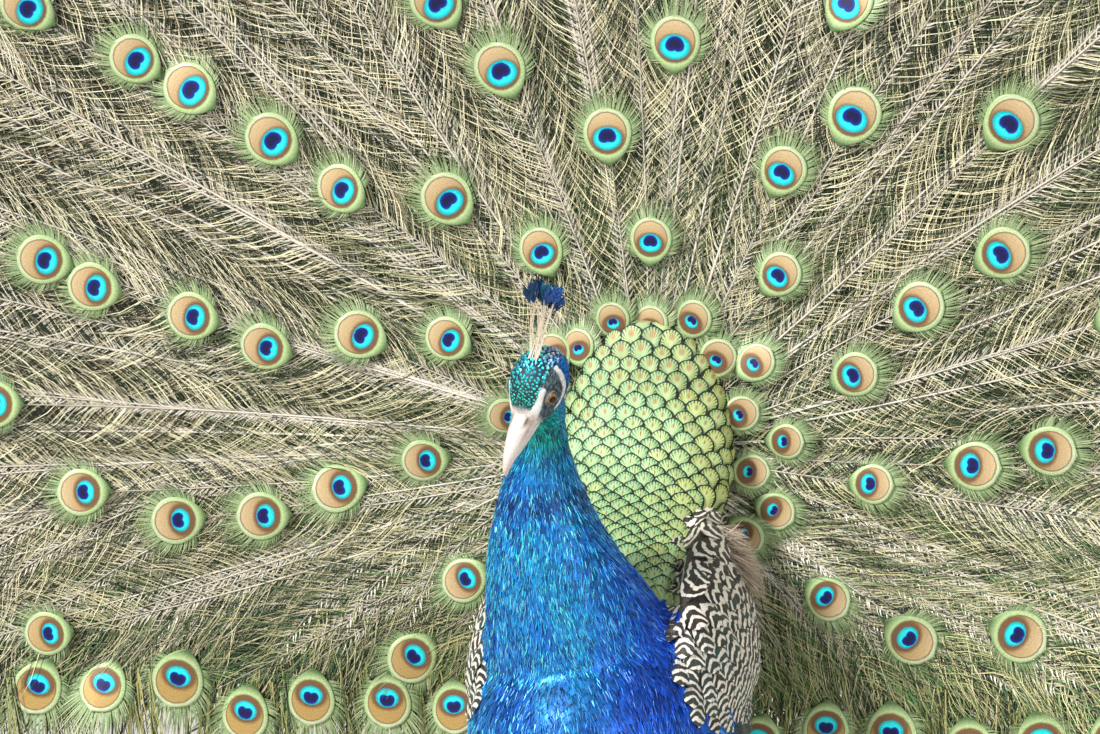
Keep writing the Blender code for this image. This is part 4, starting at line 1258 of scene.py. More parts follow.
def build_blue_strands(roots, name):
    body = ramp(np.linalg.norm(to_head(SAMPLES[roots]), axis=1), 0.036, 0.080)
    *ribbons, place = strands(roots, STRANDS_EACH, 0.0034, 0.0050 + 0.0075 * body, 0.16,
                              0.0007 + 0.0012 * body, 0.00055 + 0.00027 * body)
    x, _, z = place.T
    chance = RNG.random(len(place))
    colour = plumage_blue(place)
    # Painted light: bright cyan strands on the lit right and blue glints on the left are painted highlights,
    # and the night-blue strands are painted shade in the gaps between strands.
    for paint, share in (
            ((0.12, 0.56, 1.0), 0.85 * (chance > 0.68) * ramp(x, 0.06, -0.02) * ramp(z, 0.575, 0.54)),
            ((0.09, 0.26, 1.0), 0.70 * (chance > 0.74) * ramp(x, -0.02, 0.05)),
            (BLUE_NIGHT_SHADE, 0.94 * (chance < np.where(z > 0.51, 0.17, 0.22)))):
        colour = mix(colour, paint, share)
    # Painted shade: strands low on the breast that face upward, into the key lamp, are darkened by up to 62
    # percent.
    painted_shade_on_shelf = ramp(np.repeat(SAMPLE_NORMALS[roots, 2], STRANDS_EACH), 0.10, 0.45) * ramp(z, 0.46, 0.40)
    colour = colour * (1 - 0.62 * painted_shade_on_shelf[:, None]) * RNG.uniform(0.60, 2.1, (len(place), 1))
    new_ribbons(name, *ribbons, skin_unwrap(place), lambda along: colour[:, None] * (0.55 + 0.85 * along),
                SILK_FINISH, slot="plumage_blue")


SILK_FINISH = feather_finish("blue_silk", roughness=0.38, metallic=0.42, coat=0.06, streak=0.20, grain=700.0)
BLUE_ROOTS = thinned(SAMPLE_REGION == BLUE,
                     np.where(np.linalg.norm(to_head(SAMPLES), axis=1) < 0.040, 0.0026, 0.0044))
build_blue_ground(BLUE_ROOTS)
build_blue_strands(BLUE_ROOTS[0::2], "coat_blue_strands_1")
build_blue_strands(BLUE_ROOTS[1::2], "coat_blue_strands_2")

# %% [markdown]
# ## Scales of the raised back
# The feathers between the wings are short, broad and round, each with a pale green-gold centre, fine teal
# barbs and a thin black rim, so they read as fish scales; the rim is drawn a little wider, partly as painted
# shadow in the gap at its edge. They stand in staggered rows like roof tiles. The rows are laid out on a
# plane that faces the sloping back and then dropped on to the skin.

# %% Finish of a scale
def scale_finish():
    finish = Finish("back_scale", 0.50, metallic=0.20, coat=0.05, coat_roughness=0.25)
    across, along = finish.vane(2.0)
    rise = finish.math("MAXIMUM", along - 0.34, 0.0)
    reach = finish.math("SQRT", across * across + rise * rise * 2.30)
    ray = finish.math("ARCTAN2", across, along + 0.30)
    barbs = finish.math("SINE", ray * 27.0 + finish.noise(420.0) * 5.0)
    teal = finish.step(reach, 0.32, 0.62) * finish.step(barbs, 0.0, 0.6)
    colour = finish.blend(teal * 0.92, finish.tint(), (0.012, 0.13, 0.075))
    colour = finish.blend(finish.step(reach, 0.60, 0.10) * 0.45, colour, (0.58, 0.78, 0.42))
    high = finish.step(finish.parts(finish.place())[2], 0.535, 0.640)
    drop = finish.oval(across, along - 0.40, high * 0.27 + 0.085, high * 0.14 + 0.17)
    copper = finish.blend(high, (0.32, 0.17, 0.065), (0.50, 0.30, 0.14))
    colour = finish.blend(finish.step(drop, 1.25, 0.55) * 0.85, colour, copper)
    # The black rim: partly the scale's own rim and partly painted shadow in the gap along its edge.
    colour = finish.blend(finish.step(reach, 0.74, 0.80), colour, (0.002, 0.010, 0.005))
    return finish.done(colour, barbs, 0.30, 0.0004)


# %% Roots in staggered rows
SCALE_ROWS = (0.0062, 0.0118)   # between rows along the slope, at the foot of the back and at its top
SCALE_GAP = 0.0165              # between neighbours in a row
SCALE_WANDER = 0.0006


def cast_on_skin(origins, direction):
    """Places and normals where rays first meet the skin, without the rays that miss."""
    heading = Vector(direction).normalized()
    hits = [SKIN_TREE.ray_cast(Vector(start), heading, 1.2)[:2] for start in origins]
    hits = np.array([hit for hit in hits if hit[0] is not None])
    return hits[:, 0], hits[:, 1]


def scale_roots():
    slope = np.array([0, math.sqrt(0.5), math.sqrt(0.5)])
    facing = np.array([0, -math.sqrt(0.5), math.sqrt(0.5)])
    middle = np.array([0, 0.030 + SHIFT, 0.500])
    rows, origins = [-0.200], []
    while rows[-1] < 0.200:
        rows.append(rows[-1] + np.interp(rows[-1], [-0.080, 0.120], SCALE_ROWS))
    for number, s in enumerate(rows):
        for x in np.arange(-0.110, 0.111, SCALE_GAP) + (number % 2) * SCALE_GAP / 2:
            start = middle + slope * (s + RNG.normal(0, SCALE_WANDER)) + facing * 0.3
            origins.append(start + np.array([x + RNG.normal(0, SCALE_WANDER), 0, 0]))
    place, normals = cast_on_skin(origins, -facing)
    keep = np.isin(region_of(place), (MANTLE, RUMP))
    rest = thinned(np.isin(SAMPLE_REGION, (MANTLE, RUMP)) & (SAMPLE_NORMALS @ facing < 0.40), 0.0118)
    return np.concatenate([place[keep], SAMPLES[rest]]), np.concatenate([normals[keep], SAMPLE_NORMALS[rest]])


# %% Lay the scales
SCALE_WIDTH = 0.0212
SCALE_LENGTH = 0.0250


def build_scales():
    place, normals = scale_roots()
    count = len(place)
    x, _, z = place.T
    flow = flow_of(place, normals, np.full(count, MANTLE))
    lean = -0.35 * ramp(np.abs(x), 0.030, 0.085) * np.sign(x)
    flow = turned(flow, normals, lean + RNG.normal(0, 0.05, count))
    size = RNG.normal(1, 0.05, count) * (1 - 0.12 * ramp(z, 0.46, 0.38))
    gold = ramp(x, 0.0, 0.08) + 0.35 * ramp(z, 0.52, 0.60) + RNG.normal(0, 0.18, count)
    shade = mix((0.31, 0.53, 0.25), (0.47, 0.50, 0.14), np.clip(gold, 0, 1))
    shade = mix(shade, (0.46, 0.56, 0.26), 0.6 * ramp(z, 0.57, 0.60) * RNG.uniform(0.5, 1, count))
    shade = mix(shade, (0.09, 0.50, 0.48), 0.65 * ramp(z, 0.45, 0.39) * ramp(x, 0.075, 0.045))
    shade = shade * RNG.uniform(0.85, 1.18, (count, 1))
    new_vanes("coat_back_scales", place - flow * 0.010, normals, flow, SCALE_LENGTH * size,
              SCALE_WIDTH * size, 0.0050, 9, 9, scale_finish(),
              lambda along: shade[:, None, None], camber=0.0012, outline=0.56)
    print("scales:", count)


build_scales()

# %% [markdown]
# ## Barred wings
# The shoulders of the folded wings show as a strip of cream feathers crossed by wavy brown-black bars, broad
# above and fine below, with teal where the light catches the lowest. Each covert is a vane whose finish
# draws the bars across it. The bars are bent by noise, since no two feathers carry quite the same pattern.

# %% Bars of a covert
def barred_finish():
    finish = Finish("barred_covert", 0.5, sheen=0.15)
    across, along = finish.vane(2.0)
    run = along + across * across * -0.30 + (finish.noise(110.0) - 0.5) * 0.40
    wave = finish.math("SINE", run * 19.0) + (finish.noise(1400.0) - 0.5) * 0.6
    cream = finish.blend(finish.noise(90.0), (0.95, 0.92, 0.86), (0.78, 0.69, 0.57))
    colour = finish.blend(finish.step(wave, -0.32, -0.08), cream, finish.tint())
    width = finish.math("ABSOLUTE", across)
    colour = finish.blend(finish.step(width, 0.045, 0.02) * 0.5, colour, (0.16, 0.11, 0.07))
    return finish.done(colour, finish.math("SINE", (along - width) * 70.0), 0.25, 0.0003)


# %% Lay the coverts
COVERT_SPACING = 0.0108


def build_coverts():
    """The Vane map of a high covert ends early, so it has fewer and broader bars."""
    roots = thinned(SAMPLE_REGION == WING, COVERT_SPACING)
    count = len(roots)
    place, normals, flow = combed(roots, RNG.normal(0, 0.10, count))
    low = ramp(place[:, 2], 0.44, 0.36)
    dark = mix((0.030, 0.022, 0.017), (0.012, 0.010, 0.010), RNG.random(count))
    teal = RNG.random(count) < 0.20 + 0.55 * low
    dark = mix(dark, (0.006, 0.085, 0.085), 0.7 * teal * RNG.uniform(0.3, 1, count))
    new_vanes("coat_wing_coverts", place - flow * 0.008, normals, flow, 0.030 + 0.008 * low,
              0.021 - 0.004 * low, 0.0052, 8, 7, barred_finish(),
              lambda along: dark[:, None, None], camber=0.0016, outline=0.70, reach=0.44 + 0.56 * low)
    print("coverts:", count)


build_coverts()

# %% [markdown]
# ## Long feathers of wing and tail
# The chestnut primaries droop beside the legs, and twenty stiff grey-brown tail feathers prop the train from
# behind. Each is a single vane with a raised shaft, wide enough to lie over its neighbour like the ribs of a
# hand fan. One function makes them all from a root, a direction and a length.

# %% Make a blade of each long feather
def quill_finish(name, light, dark):
    finish = Finish(name, 0.45, sheen=0.1)
    across, along = finish.vane(2.0)
    width = finish.math("ABSOLUTE", across)
    barbs = finish.math("SINE", (along * 5.0 - width) * 60.0)
    colour = finish.blend(finish.step(finish.noise(130.0, 4.0), 0.35, 0.65), light, dark)
    colour = finish.node("ShaderNodeMix", 2, {0: 1.0, 6: colour, 7: finish.tint()}, data_type="RGBA",
                         blend_type="MULTIPLY")
    colour = finish.scaled(colour, finish.step(barbs, -1.0, 1.0, to=(0.66, 1.22)))
    colour = finish.blend(finish.step(width, 0.06, 0.03), colour, (0.50, 0.42, 0.30))
    return finish.done(colour, barbs, 0.3, 0.0004)


def new_blades(name, path, front, width, share, columns, tip, finish, tint, patch, pitch):
    """Vanes round shafts (n,s,3) that face (front); each has a patch of the OFBake map, in a row."""
    path, front = np.array(path), np.array(front)[:, None]
    swell = np.clip(share / 0.25, 0.10, 1) ** 0.7
    swell = np.where(share > tip, np.sqrt(np.clip(1 - ((share - tip) / (1 - tip)) ** 2, 0, 1)), swell)
    column = np.linspace(-1, 1, columns)
    half = width / 2 * swell[:, None] * column
    ridge = np.where(np.abs(column) < 0.1, 0.0007, 0)[:, None]
    points = path[:, :, None] + side_of(path, front)[:, :, None] * half[..., None] + front[:, :, None] * ridge
    vane = np.stack(np.meshgrid(0.5 + 0.5 * column, share), -1)
    bake = 0.02 + patch * vane + np.arange(len(path))[:, None, None, None] * np.array([pitch, 0])
    return new_piece(name, points, [sheet_faces(*points.shape[:3])], finish, tint[:, None, None],
                     vane, bake)


# %% Hang the primaries and spread the tail
PRIMARIES_EACH = 8
TAIL_COUNT = 20
TAIL_HUB = (0, 0.1405 + SHIFT, 0.505)
TAIL_START, TAIL_REACH = 0.056, 0.418


def build_primaries():
    paths, fronts = [], []
    share = 1 - (1 - np.linspace(0, 1, 13)) ** 1.4
    for side in (-1, 1):
        for k in range(PRIMARIES_EACH):
            part = k / (PRIMARIES_EACH - 1)
            bend = math.radians(-64 - 40 * (1 - part)) + 0.10 * share * (share - 1)
            reach = 0.012 + (0.154 + 0.065 * part) * share
            out = 0.030 * (reach / 0.225) ** 2 - 0.0009 * (k - 3.5)
            paths.append(np.stack([side * (0.100 + out), 0.016 + SHIFT + np.cos(bend) * reach,
                                   0.350 + np.sin(bend) * reach], 1))
            fronts.append(unit(np.array([side, 0, 0.2])))
    shade = mix((0.85, 0.85, 0.85), (1.1, 1.0, 0.95), RNG.random(len(paths)))
    piece = new_blades("primaries", paths, fronts, 0.026, share, 7, 0.90,
                       quill_finish("chestnut_quill", (0.36, 0.15, 0.055), (0.20, 0.080, 0.032)),
                       shade, 0.06, 0.060)
    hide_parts("primaries_left", "primaries_right")


def build_tail():
    paths = []
    share = 1 - (1 - np.linspace(0, 1, 17)) ** 1.5
    for k in range(TAIL_COUNT):
        angle = 2 * k / (TAIL_COUNT - 1) - 1
        turn = math.radians(95 * angle)
        reach = TAIL_START + (TAIL_REACH * (1 - 0.10 * abs(angle)) - TAIL_START) * share
        y = TAIL_HUB[1] - FAN_BOW * (reach / FAN_RADIUS) ** 2 + 0.0018 + 0.0016 * (k % 2)
        paths.append(np.stack([reach * math.sin(turn), y, TAIL_HUB[2] + reach * math.cos(turn)], 1))
    shade = mix((0.8, 0.8, 0.8), (1.15, 1.1, 1.0), RNG.random(TAIL_COUNT))
    piece = new_blades("tail_feathers", paths, [FORWARD] * TAIL_COUNT, 0.066, share, 9, 0.84,
                       quill_finish("tail_quill", (0.24, 0.19, 0.135), (0.11, 0.085, 0.060)),
                       shade, 0.045, 0.048)
    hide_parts("tail")


build_primaries()
build_tail()

# %% [markdown]
# ## Dark underparts
# The belly, flanks, thighs and the fluff under the tail are blackish and soft, with a green gloss where they
# meet the breast. Loose down has no vane, so each tuft is a handful of fine barbs over a small dull vane
# that closes the ground between the tufts.

# %% Grow the down
DOWN_EACH = 5                   # barbs in one tuft


def build_down():
    roots = thinned(SAMPLE_REGION == UNDER, 0.0072)
    place, normals, flow = combed(roots, RNG.normal(0, 0.15, len(roots)))
    shin = ramp(place[:, 2], 0.17, 0.24)
    shade = mix(DOWN_DARK, (0.045, 0.042, 0.036), RNG.random(len(roots)))
    shade = mix(shade, (0.010, 0.060, 0.055), 0.5 * ramp(place[:, 1], 0.06, -0.06))
    new_vanes("coat_dark_ground", place, normals, flow, 0.011 + 0.012 * shin, 0.006 + 0.007 * shin,
              0.0016 + 0.0016 * shin, 4, 3, DOWN_FINISH, lambda along: shade[:, None, None])
    *ribbons, home = strands(roots, DOWN_EACH, 0.0045, 0.010 + 0.016 * shin, 0.32,
                             0.0025 + 0.0045 * shin, 0.0009)
    barb = np.repeat(shade, DOWN_EACH, 0) * RNG.uniform(0.7, 1.9, (len(home), 1))
    new_ribbons("coat_dark_down", *ribbons, skin_unwrap(home),
                lambda along: barb[:, None] * (0.8 + 0.7 * along), DOWN_FINISH, slot="dark_down")


DOWN_FINISH = feather_finish("dark_down", roughness=0.6, sheen=0.35, streak=0.3)
build_down()

# %% [markdown]
# ## Fluff behind the shoulder
# Where the left wing parts from the train, some loose rufous-grey down escapes. It is made like the dark
# down, from the same function, only longer, paler and more ruffled.

# %% Grow the fluff
def build_shoulder_fluff():
    reach = np.linalg.norm(SAMPLES - np.array([0.103, 0.030 + SHIFT, 0.462]), axis=1)
    roots = thinned((SAMPLE_REGION == WING) & (reach < 0.030), 0.0040)
    *ribbons, home = strands(roots, 16, 0.0050, 0.030, 0.45, 0.016, 0.0010)
    shade = mix((0.72, 0.60, 0.47), (0.30, 0.22, 0.16), RNG.random(len(home)))
    new_ribbons("coat_shoulder_fluff", *ribbons, skin_unwrap(home), lambda along: shade[:, None], DOWN_FINISH,
                slot="dark_down")


build_shoulder_fluff()

# %% [markdown]
# ## Eyes
# An eye is a ball in a socket, of which the lids show a third. Each is turned as rings about its own line of
# sight, so that pupil, iris and the dark rim are rings of points with their own tint, and a clear coat over
# them stands in for the wet cornea.

# %% Eyeballs
EYE_SIZE = 0.0066
EYE_PLACE = (0.0152, -0.0110, 0.0050)
PUPIL_EDGE = math.radians(25)
IRIS_EDGE = math.radians(52)


def circle(count):
    """Angles of (count) even steps round a circle."""
    return np.linspace(0, 2 * math.pi, count, endpoint=False)


def eye_axes(side):
    """Centre, line of sight, toward the bill and up, all in the head's axes."""
    centre = np.array([side * EYE_PLACE[0], EYE_PLACE[1], EYE_PLACE[2]])
    sight = unit(np.array([side * 0.90, -0.42, 0.09]))
    billward = np.array([0, -0.93, -0.36])
    forward = unit(billward - sight * (billward @ sight))
    return centre, sight, forward, np.cross(sight, forward) * side


def build_eyeballs():
    rings, turn = 30, circle(40)
    polar = (np.linspace(0.002, 1, rings) ** 0.85 * math.radians(120))[:, None]
    bulge = 1 + 0.055 * np.clip(1 - polar / IRIS_EDGE, 0, 1) ** 0.6
    streak = 0.5 + 0.5 * np.sin(turn * 19 + 2.0 * np.sin(turn * 7))
    tint = mix((0.26, 0.105, 0.040), (0.56, 0.28, 0.12), streak)
    for paint, low, high in (((0.09, 0.030, 0.012), IRIS_EDGE - 0.16, IRIS_EDGE),
                             ((0.002, 0.002, 0.003), PUPIL_EDGE + 0.03, PUPIL_EDGE),
                             ((0.020, 0.012, 0.010), IRIS_EDGE, IRIS_EDGE + 0.05)):
        tint = mix(tint, paint, ramp(polar, low, high))
    balls = []
    for side in (-1, 1):
        centre, sight, forward, up = eye_axes(side)
        ring = np.cos(turn)[:, None] * forward + np.sin(turn)[:, None] * up
        ring = np.sin(polar)[..., None] * ring + np.cos(polar)[..., None] * sight
        balls.append(from_head(centre + EYE_SIZE * bulge[..., None] * ring))
    reach = np.linspace(0.01, 0.48, rings)[:, None]
    disc = np.stack([0.25 + 0.5 * reach * np.cos(turn), 0.5 + reach * np.sin(turn)], -1)
    piece = new_piece("eyeballs", balls, [ring_faces(2, rings, len(turn))], EYEBALL_FINISH, tint,
                      bake=np.array([disc, disc + np.array([0.5, 0])]))
    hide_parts("eye_left", "eye_right")


EYEBALL_FINISH = feather_finish("wet_eye", roughness=0.25, coat=0.55, coat_roughness=0.03, specular=0.10,
                                streak=0.08, grain=2500.0, bump=0.0)
build_eyeballs()

# %% [markdown]
# ## Eyelids
# The lids are a soft ring between the ball and the skin round it: its inner edge follows the almond opening
# close over the ball, and its outer edge lies on the skin, found by casting rays at it. A pale line and a
# few shallow folds run round it.

# %% Lids
LID_LONG = 0.0056               # half length and half height of the opening
LID_HIGH = 0.0043
LID_REACH = 0.0098
LID_ROWS = 9


def skin_height(centre, sight, step):
    """How far the skin stands out along the line of sight, beside the eye by (step)."""
    start = from_head(centre + step + sight * 0.03)
    place = SKIN_TREE.ray_cast(Vector(start), Vector(HEAD_TURN @ -sight), 0.06)[0]
    return (to_head(np.array(place)) - centre) @ sight if place else 0.004


def build_lids():
    turn, share = circle(48), np.linspace(0, 1, LID_ROWS)[:, None]
    ca, sa = np.cos(turn), np.sin(turn)
    pinch = 1 - 0.30 * np.abs(ca) ** 6
    opening = np.stack([LID_LONG * ca, LID_HIGH * sa * pinch - 0.0004 * np.abs(ca) ** 3], 1)
    outer = np.stack([LID_REACH * ca, LID_REACH * 0.92 * sa], 1)
    flat = opening + (outer - opening) * share[..., None] ** 1.1
    shell = np.sqrt(np.clip((EYE_SIZE + 0.00075) ** 2 - (flat ** 2).sum(-1), 0, None))
    settle = ramp(share, 0.10, 0.85)
    fold = 0.00042 * np.exp(-((share - 0.16) / 0.09) ** 2) + 0.0003 * np.sin(share * 15.0) * (1 - share)
    pale = np.exp(-((share - 0.12) / 0.07) ** 2) * ramp(-sa, -0.1, 0.5)
    pale[1] += 0.5
    lid_shade = mix((0.018, 0.030, 0.038), (0.050, 0.085, 0.10), share)
    lid_shade = mix(lid_shade, (0.50, 0.46, 0.42), np.clip(pale, 0, 0.9))
    lids, tints = [], []
    for side in (-1, 1):
        centre, sight, forward, up = eye_axes(side)
        surface = np.array([skin_height(centre, sight, forward * u + up * v) for u, v in outer]) - 0.0003
        height = shell * (1 - settle) + surface * settle + fold
        height[0] -= 0.0007
        points = centre + forward * flat[..., :1] + up * flat[..., 1:] + sight * height[..., None]
        white = stripe_share(points.reshape(-1, 3)).reshape(height.shape) * ramp(share, 0.45, 0.7)
        tints.append(mix(lid_shade, (0.78, 0.77, 0.75), white))
        lids.append(from_head(points))
    rows = 2 * LID_ROWS
    bake = np.stack(np.meshgrid(np.arange(len(turn)) / len(turn), np.arange(rows) / rows), -1)
    new_piece("eyelids", lids, [ring_faces(2, LID_ROWS, len(turn))], LID_FINISH, tints,
              bake=bake.reshape(2, LID_ROWS, -1, 2))


LID_FINISH = feather_finish("lid_skin", roughness=0.42, coat=0.2, streak=0.18, grain=2200.0, bump=0.4)
build_lids()

# %% [markdown]
# ## Bill
# The bill is two sheaths of horn. The upper one overhangs the lower with a slight hook; its ridge, the
# culmen, runs back between the feathers of the forehead, and a slot-shaped nostril opens on each side under
# a soft flap. It is lofted from cross-sections, with the nostril pressed in where the sections pass it.

# %% Loft the bill
BILL_LENGTH = 0.047
BILL_ROOT = -0.0300
BILL_HALF = 0.0122
BILL_SPLIT = -0.0068
BILL_STEPS, BILL_AROUND = 34, 28
NOSTRIL = (0.270, 0.52)         # share along the bill and angle share up its side


def bill_sheath(upper):
    t, turn = np.linspace(0, 1, BILL_STEPS)[:, None], circle(BILL_AROUND)
    y = BILL_ROOT + 0.010 - (BILL_LENGTH + (0.010 if upper else 0.003)) * t
    taper = np.sqrt(1 - t ** 1.7)
    half = BILL_HALF * (0.07 + 0.93 * (1 - t ** 1.2) ** 0.78) * (1.0 if upper else 0.90)
    half[-1] *= 0.5
    if upper:
        top = BILL_SPLIT + 0.0012 + 0.0125 * taper - 0.0035 * t ** 3
        low = BILL_SPLIT + 0.00015 - 0.0052 * t ** 6
        middle = low + 0.25 * (top - low)
    else:
        top = BILL_SPLIT - 0.00015
        low = top - 0.0012 - 0.0050 * taper
        middle = top - 0.25 * (top - low)
    high = np.sin(turn) > 0
    x = half * np.sign(np.cos(turn)) * np.abs(np.cos(turn)) ** 0.86
    z = middle + np.where(high, top - middle, middle - low) * np.sin(turn)
    tint = mix((0.74, 0.68, 0.65), (0.62, 0.42, 0.33), 0.45 * ramp(t, 0.70, 1.0))
    if upper:
        up = np.arcsin(np.clip(np.sin(turn), 0, 1)) / (math.pi / 2)
        slot = np.exp(-((t - NOSTRIL[0]) / 0.085) ** 2 - ((up - NOSTRIL[1]) / 0.13) ** 2) * high
        flap = np.exp(-((t - NOSTRIL[0]) / 0.12) ** 2 - ((up - NOSTRIL[1] - 0.25) / 0.14) ** 2) * high
        x = x * (1 - 0.20 * slot + 0.09 * flap)
        z = z + 0.0005 * flap - 0.0006 * slot
        # Painted shade: the nostril's opening is painted dark, because the mesh is only dented there.
        tint = mix(tint, (0.13, 0.065, 0.045), np.clip(1.5 * slot - 0.15, 0, 1))
        streaks = np.exp(-((up - 0.30) / 0.10) ** 2) * ramp(t, 0.10, 0.22) * ramp(t, 0.62, 0.4) * high
        tint = mix(tint, (0.30, 0.19, 0.14), 0.75 * streaks)
    points = np.stack(np.broadcast_arrays(x, y, z), -1)
    stained = ramp(ripple(points.reshape(-1, 3) * (1, 0.3, 1), 0.0016, 9), 0.2, 0.9).reshape(x.shape)
    return points, mix(tint, (0.40, 0.30, 0.24), 0.6 * stained * ramp(t, 0.60, 0.10))


def build_bill():
    last = (BILL_STEPS - 1) * BILL_AROUND
    tip = np.array([(last, last + k, last + k + 1) for k in range(1, BILL_AROUND - 1)])
    faces = [ring_faces(1, BILL_STEPS, BILL_AROUND), tip]
    round_share, share = np.meshgrid(np.linspace(0, 1, BILL_AROUND), np.linspace(0.02, 0.98, BILL_STEPS))
    bake = np.stack([share, round_share], -1)
    for upper, name in ((True, "bill_upper"), (False, "bill_lower")):
        points, tint = bill_sheath(upper)
        piece = new_piece("horn_" + name, from_head(points), faces, HORN_FINISH, tint, bake=bake)
        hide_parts(name)


HORN_FINISH = feather_finish("pale_horn", roughness=0.34, coat=0.25, streak=0.16, bump=0.35)
build_bill()

# %% [markdown]
# ## Crown
# The crown's feathers are tiny stiff beads with a metallic gloss, each about two millimetres across and dark
# at its foot, so dark gaps show between them. They are vanes like the others, only as broad as they are long
# and strongly domed, which catches a highlight on each.

# %% Bead the crown
def build_crown():
    spacing = 0.00172 + 0.0008 * ramp(to_head(SAMPLES)[:, 1], -0.024, -0.004)
    roots = thinned(SAMPLE_REGION == CROWN, spacing)
    count = len(roots)
    place, normals, flow = combed(roots, RNG.normal(0, 0.45, count))
    x, y, _ = to_head(place).T
    size = (0.0018 + 0.0007 * ramp(y, -0.024, -0.004)) * RNG.uniform(0.85, 1.12, count)
    shade = mix((0.06, 0.80, 0.66), (0.03, 0.68, 1.0), ramp(y + RNG.normal(0, 0.003, count), -0.020, -0.004))
    shade = mix(shade, (0.50, 0.46, 0.92), 0.8 * ramp(y + 1.1 * x, 0.014, 0.030))
    shade = (shade * RNG.uniform(0.62, 1.9, (count, 1)))[:, None, None]
    new_vanes("coat_crown_beads", place, normals, flow, size * 1.15, size, 0.0009, 5, 5, BEAD_FINISH,
              lambda along: shade * (0.10 + 1.15 * along), camber=0.00035, outline=0.55)
    print("crown beads:", count)


BEAD_FINISH = feather_finish("crown_bead", roughness=0.25, metallic=0.6, coat=0.4, streak=0.1, grain=1500.0)
build_crown()

# %% [markdown]
# ## Crest
# From behind the crown rises the crest: bare cream shafts in a fan, each with a spade of blue barbs at its
# tip. Sines of the feather's number make every shaft lean and bow a little differently, without chance.

# %% Raise the crest
CREST_COUNT = 18
CREST_LEAN = math.radians(62)
CREST_SPREAD = math.radians(41)
SPADE_BARBS = 26


def crest_shafts():
    back = np.array([0, math.sin(CREST_LEAN), math.cos(CREST_LEAN)])
    across = np.array([0, -math.cos(CREST_LEAN), math.sin(CREST_LEAN)])
    share = np.linspace(0, 1, 8)
    paths = []
    for k in range(CREST_COUNT):
        fan = CREST_SPREAD * ((k + 0.5) / CREST_COUNT - 0.5)
        sway = math.radians(8.0 * math.sin(2.4 * k + 1.0))
        heading = unit(back * math.cos(fan) + across * math.sin(fan) + np.array([math.sin(sway), 0, 0]))
        root = np.array([0.0042 * math.sin(1.7 * k), 0.0100 + 0.0055 * math.sin(fan) * 4, 0.0215])
        length = 0.060 * (0.95 + 0.05 * math.sin(3.9 * k)) * (1.03 - 0.16 * (k / CREST_COUNT) ** 2) - 0.0065
        bow = 0.0020 * np.array([math.cos(2.9 * k), math.sin(4.3 * k), 0])
        paths.append(root + heading * (length * share)[:, None] + bow * np.sin(share * math.pi)[:, None])
    return from_head(paths), share


def build_crest():
    path, share = crest_shafts()
    facing = unit(np.array([0.22, -0.97, 0.1]))
    side = side_of(path, facing)
    crest = new_ribbons("crest_shafts", path, side, 0.00100 * (1 - 0.4 * share), skin_unwrap(path[:, 0]),
                        lambda along: mix((0.82, 0.73, 0.60), (0.55, 0.43, 0.32), along[:, 0]), SHAFT_FINISH,
                        slot="crest_feather")
    front = side_of(path, np.array([0.25, 0.05, 1.0]))[:, -1, None, None]
    ahead, out = heading_of(path)[:, -1, None, None], side[:, -1, None, None]
    reach = np.repeat(np.linspace(-0.0055, 0.0035, SPADE_BARBS // 2), 2)[:, None, None]
    sign = np.tile([-1.0, 1.0], SPADE_BARBS // 2)[:, None, None]
    spread = sign * (0.0030 * np.sin((reach + 0.0065) / 0.0110 * math.pi) ** 0.7 + 0.0009)
    step = np.linspace(0, 1, 3)[:, None]
    barbs = path[:, -1, None, None] + ahead * (reach + 0.0062 * 0.9 * step)
    barbs = barbs + out * spread * np.sin(step * 1.4)
    barbs = barbs + front * RNG.normal(0, 0.0006, (CREST_COUNT, SPADE_BARBS, 1, 1))
    barbs = barbs.reshape(-1, 3, 3)
    shade = mix((0.003, 0.060, 0.085), (0.012, 0.050, 0.22), RNG.random(CREST_COUNT))
    shade = shade * RNG.uniform(0.25, 1.7, (CREST_COUNT, 1))
    shade = np.repeat(shade, SPADE_BARBS, 0) * RNG.uniform(0.5, 1.8, (len(barbs), 1))
    new_ribbons("crest_spades", barbs, side_of(barbs, facing), np.full(3, 0.0011), skin_unwrap(barbs[:, 0]),
                lambda along: shade[:, None] * (0.7 + 0.7 * along), SILK_FINISH, slot="crest_feather")
    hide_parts("crest")


build_crest()

# %% [markdown]
# ## Face bristles
# The dark skin of the cheek isn't quite bare: short black and blue-grey bristles lie on it and fray the
# edges of the white stripes. They are the smallest tufts of the whole bird, made like its other strands.

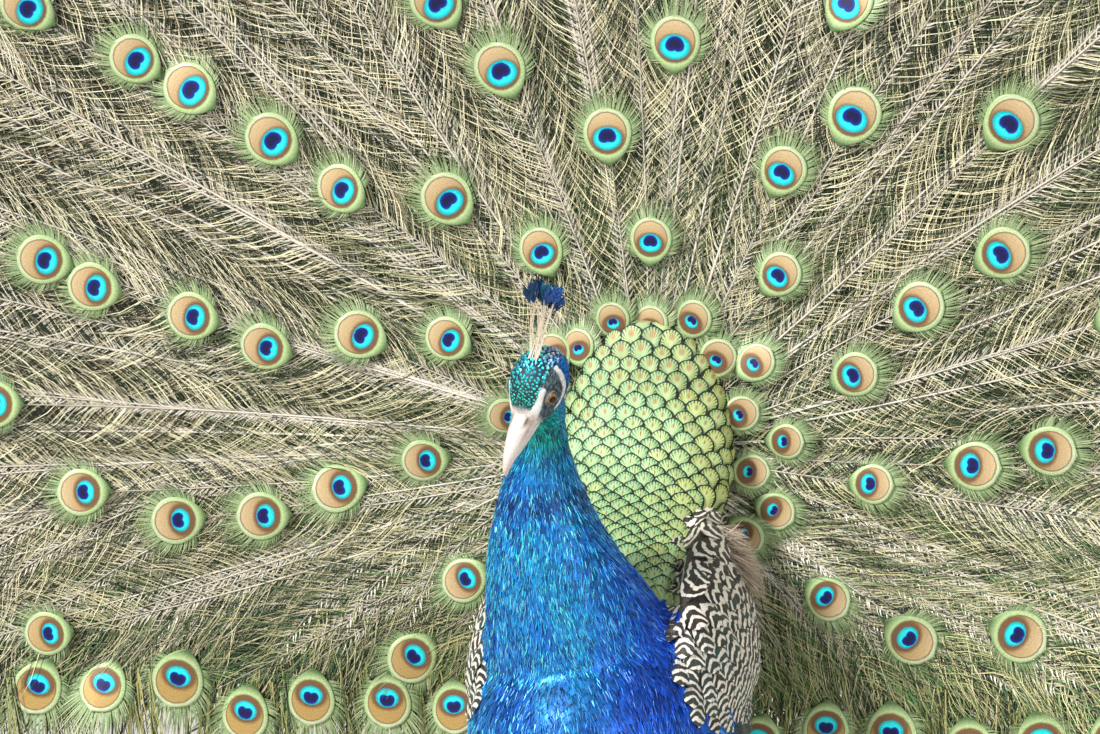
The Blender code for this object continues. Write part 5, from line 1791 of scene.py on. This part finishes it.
# %% Grow the face bristles
def build_bristles():
    local = to_head(SAMPLES)
    away = [np.linalg.norm(local - eye_axes(side)[0], axis=1) for side in (-1, 1)]
    plain = (SAMPLE_REGION == BARE) & (local[:, 1] > -0.0260) & (np.minimum(*away) > 0.0100)
    roots = thinned(plain & (stripe_share(local) < 0.2), 0.0013)
    *ribbons, home = strands(roots, 2, 0.0008, 0.0026, 0.30, 0.0006, 0.00042, steps=3, start=0.0001)
    shade = mix((0.008, 0.016, 0.022), (0.20, 0.34, 0.40), RNG.random(len(home)) ** 2.0)
    new_ribbons("coat_face_bristles", *ribbons, skin_unwrap(home), lambda along: shade[:, None], DOWN_FINISH,
                slot="plumage_crown")


build_bristles()

# %% [markdown]
# ## Legs, feet and claws
# The solids of the shanks and toes already have the right shape, so they stay and only get a finish: horny
# scutes, which are broad plates down the front of the shank and across each toe, and small ones elsewhere.
# Claws are smooth dark horn.

# %% Finish the legs
def scute_finish():
    finish = Finish("leg_scutes", 0.5, coat=0.1)
    warped = finish.node("ShaderNodeMapping", 0, {"Vector": finish.place(), "Scale": (300.0, 300.0, 190.0)})
    edge = finish.node("ShaderNodeTexVoronoi", "Distance", {"Vector": warped, "Scale": 1.0},
                       feature="DISTANCE_TO_EDGE")
    plate = finish.step(edge, 0.02, 0.16)
    mottle = finish.step(finish.noise(240.0, 3.0), 0.3, 0.7)
    horn = finish.blend(mottle, (0.30, 0.25, 0.20), (0.20, 0.165, 0.135))
    return finish.done(finish.blend(plate, (0.075, 0.060, 0.050), horn), plate, 0.55, 0.0006)


def claw_finish():
    finish = Finish("claw_horn", 0.35, coat=0.3)
    grain = finish.noise(500.0, 3.0)
    return finish.done(finish.blend(grain, (0.030, 0.024, 0.020), (0.11, 0.085, 0.065)), grain, 0.2, 0.0003)


def dress(prefixes, finish):
    names = [name for name in sorted(NODES) if name.startswith(prefixes)]
    for name in names:
        mesh = NODES[name].data
        mesh.materials.clear()
        mesh.materials.append(finish)
    print(finish.name, "on", len(names), "nodes")


dress(("shank_", "foot_"), scute_finish())
dress("claw_", claw_finish())

# %% [markdown]
# ## The train's solids give way
# The solids of the train have done their work as a frame and give way to the feathers.

# %% Hide the train's solids
for name in TRAIN_NODES:
    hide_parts(name)
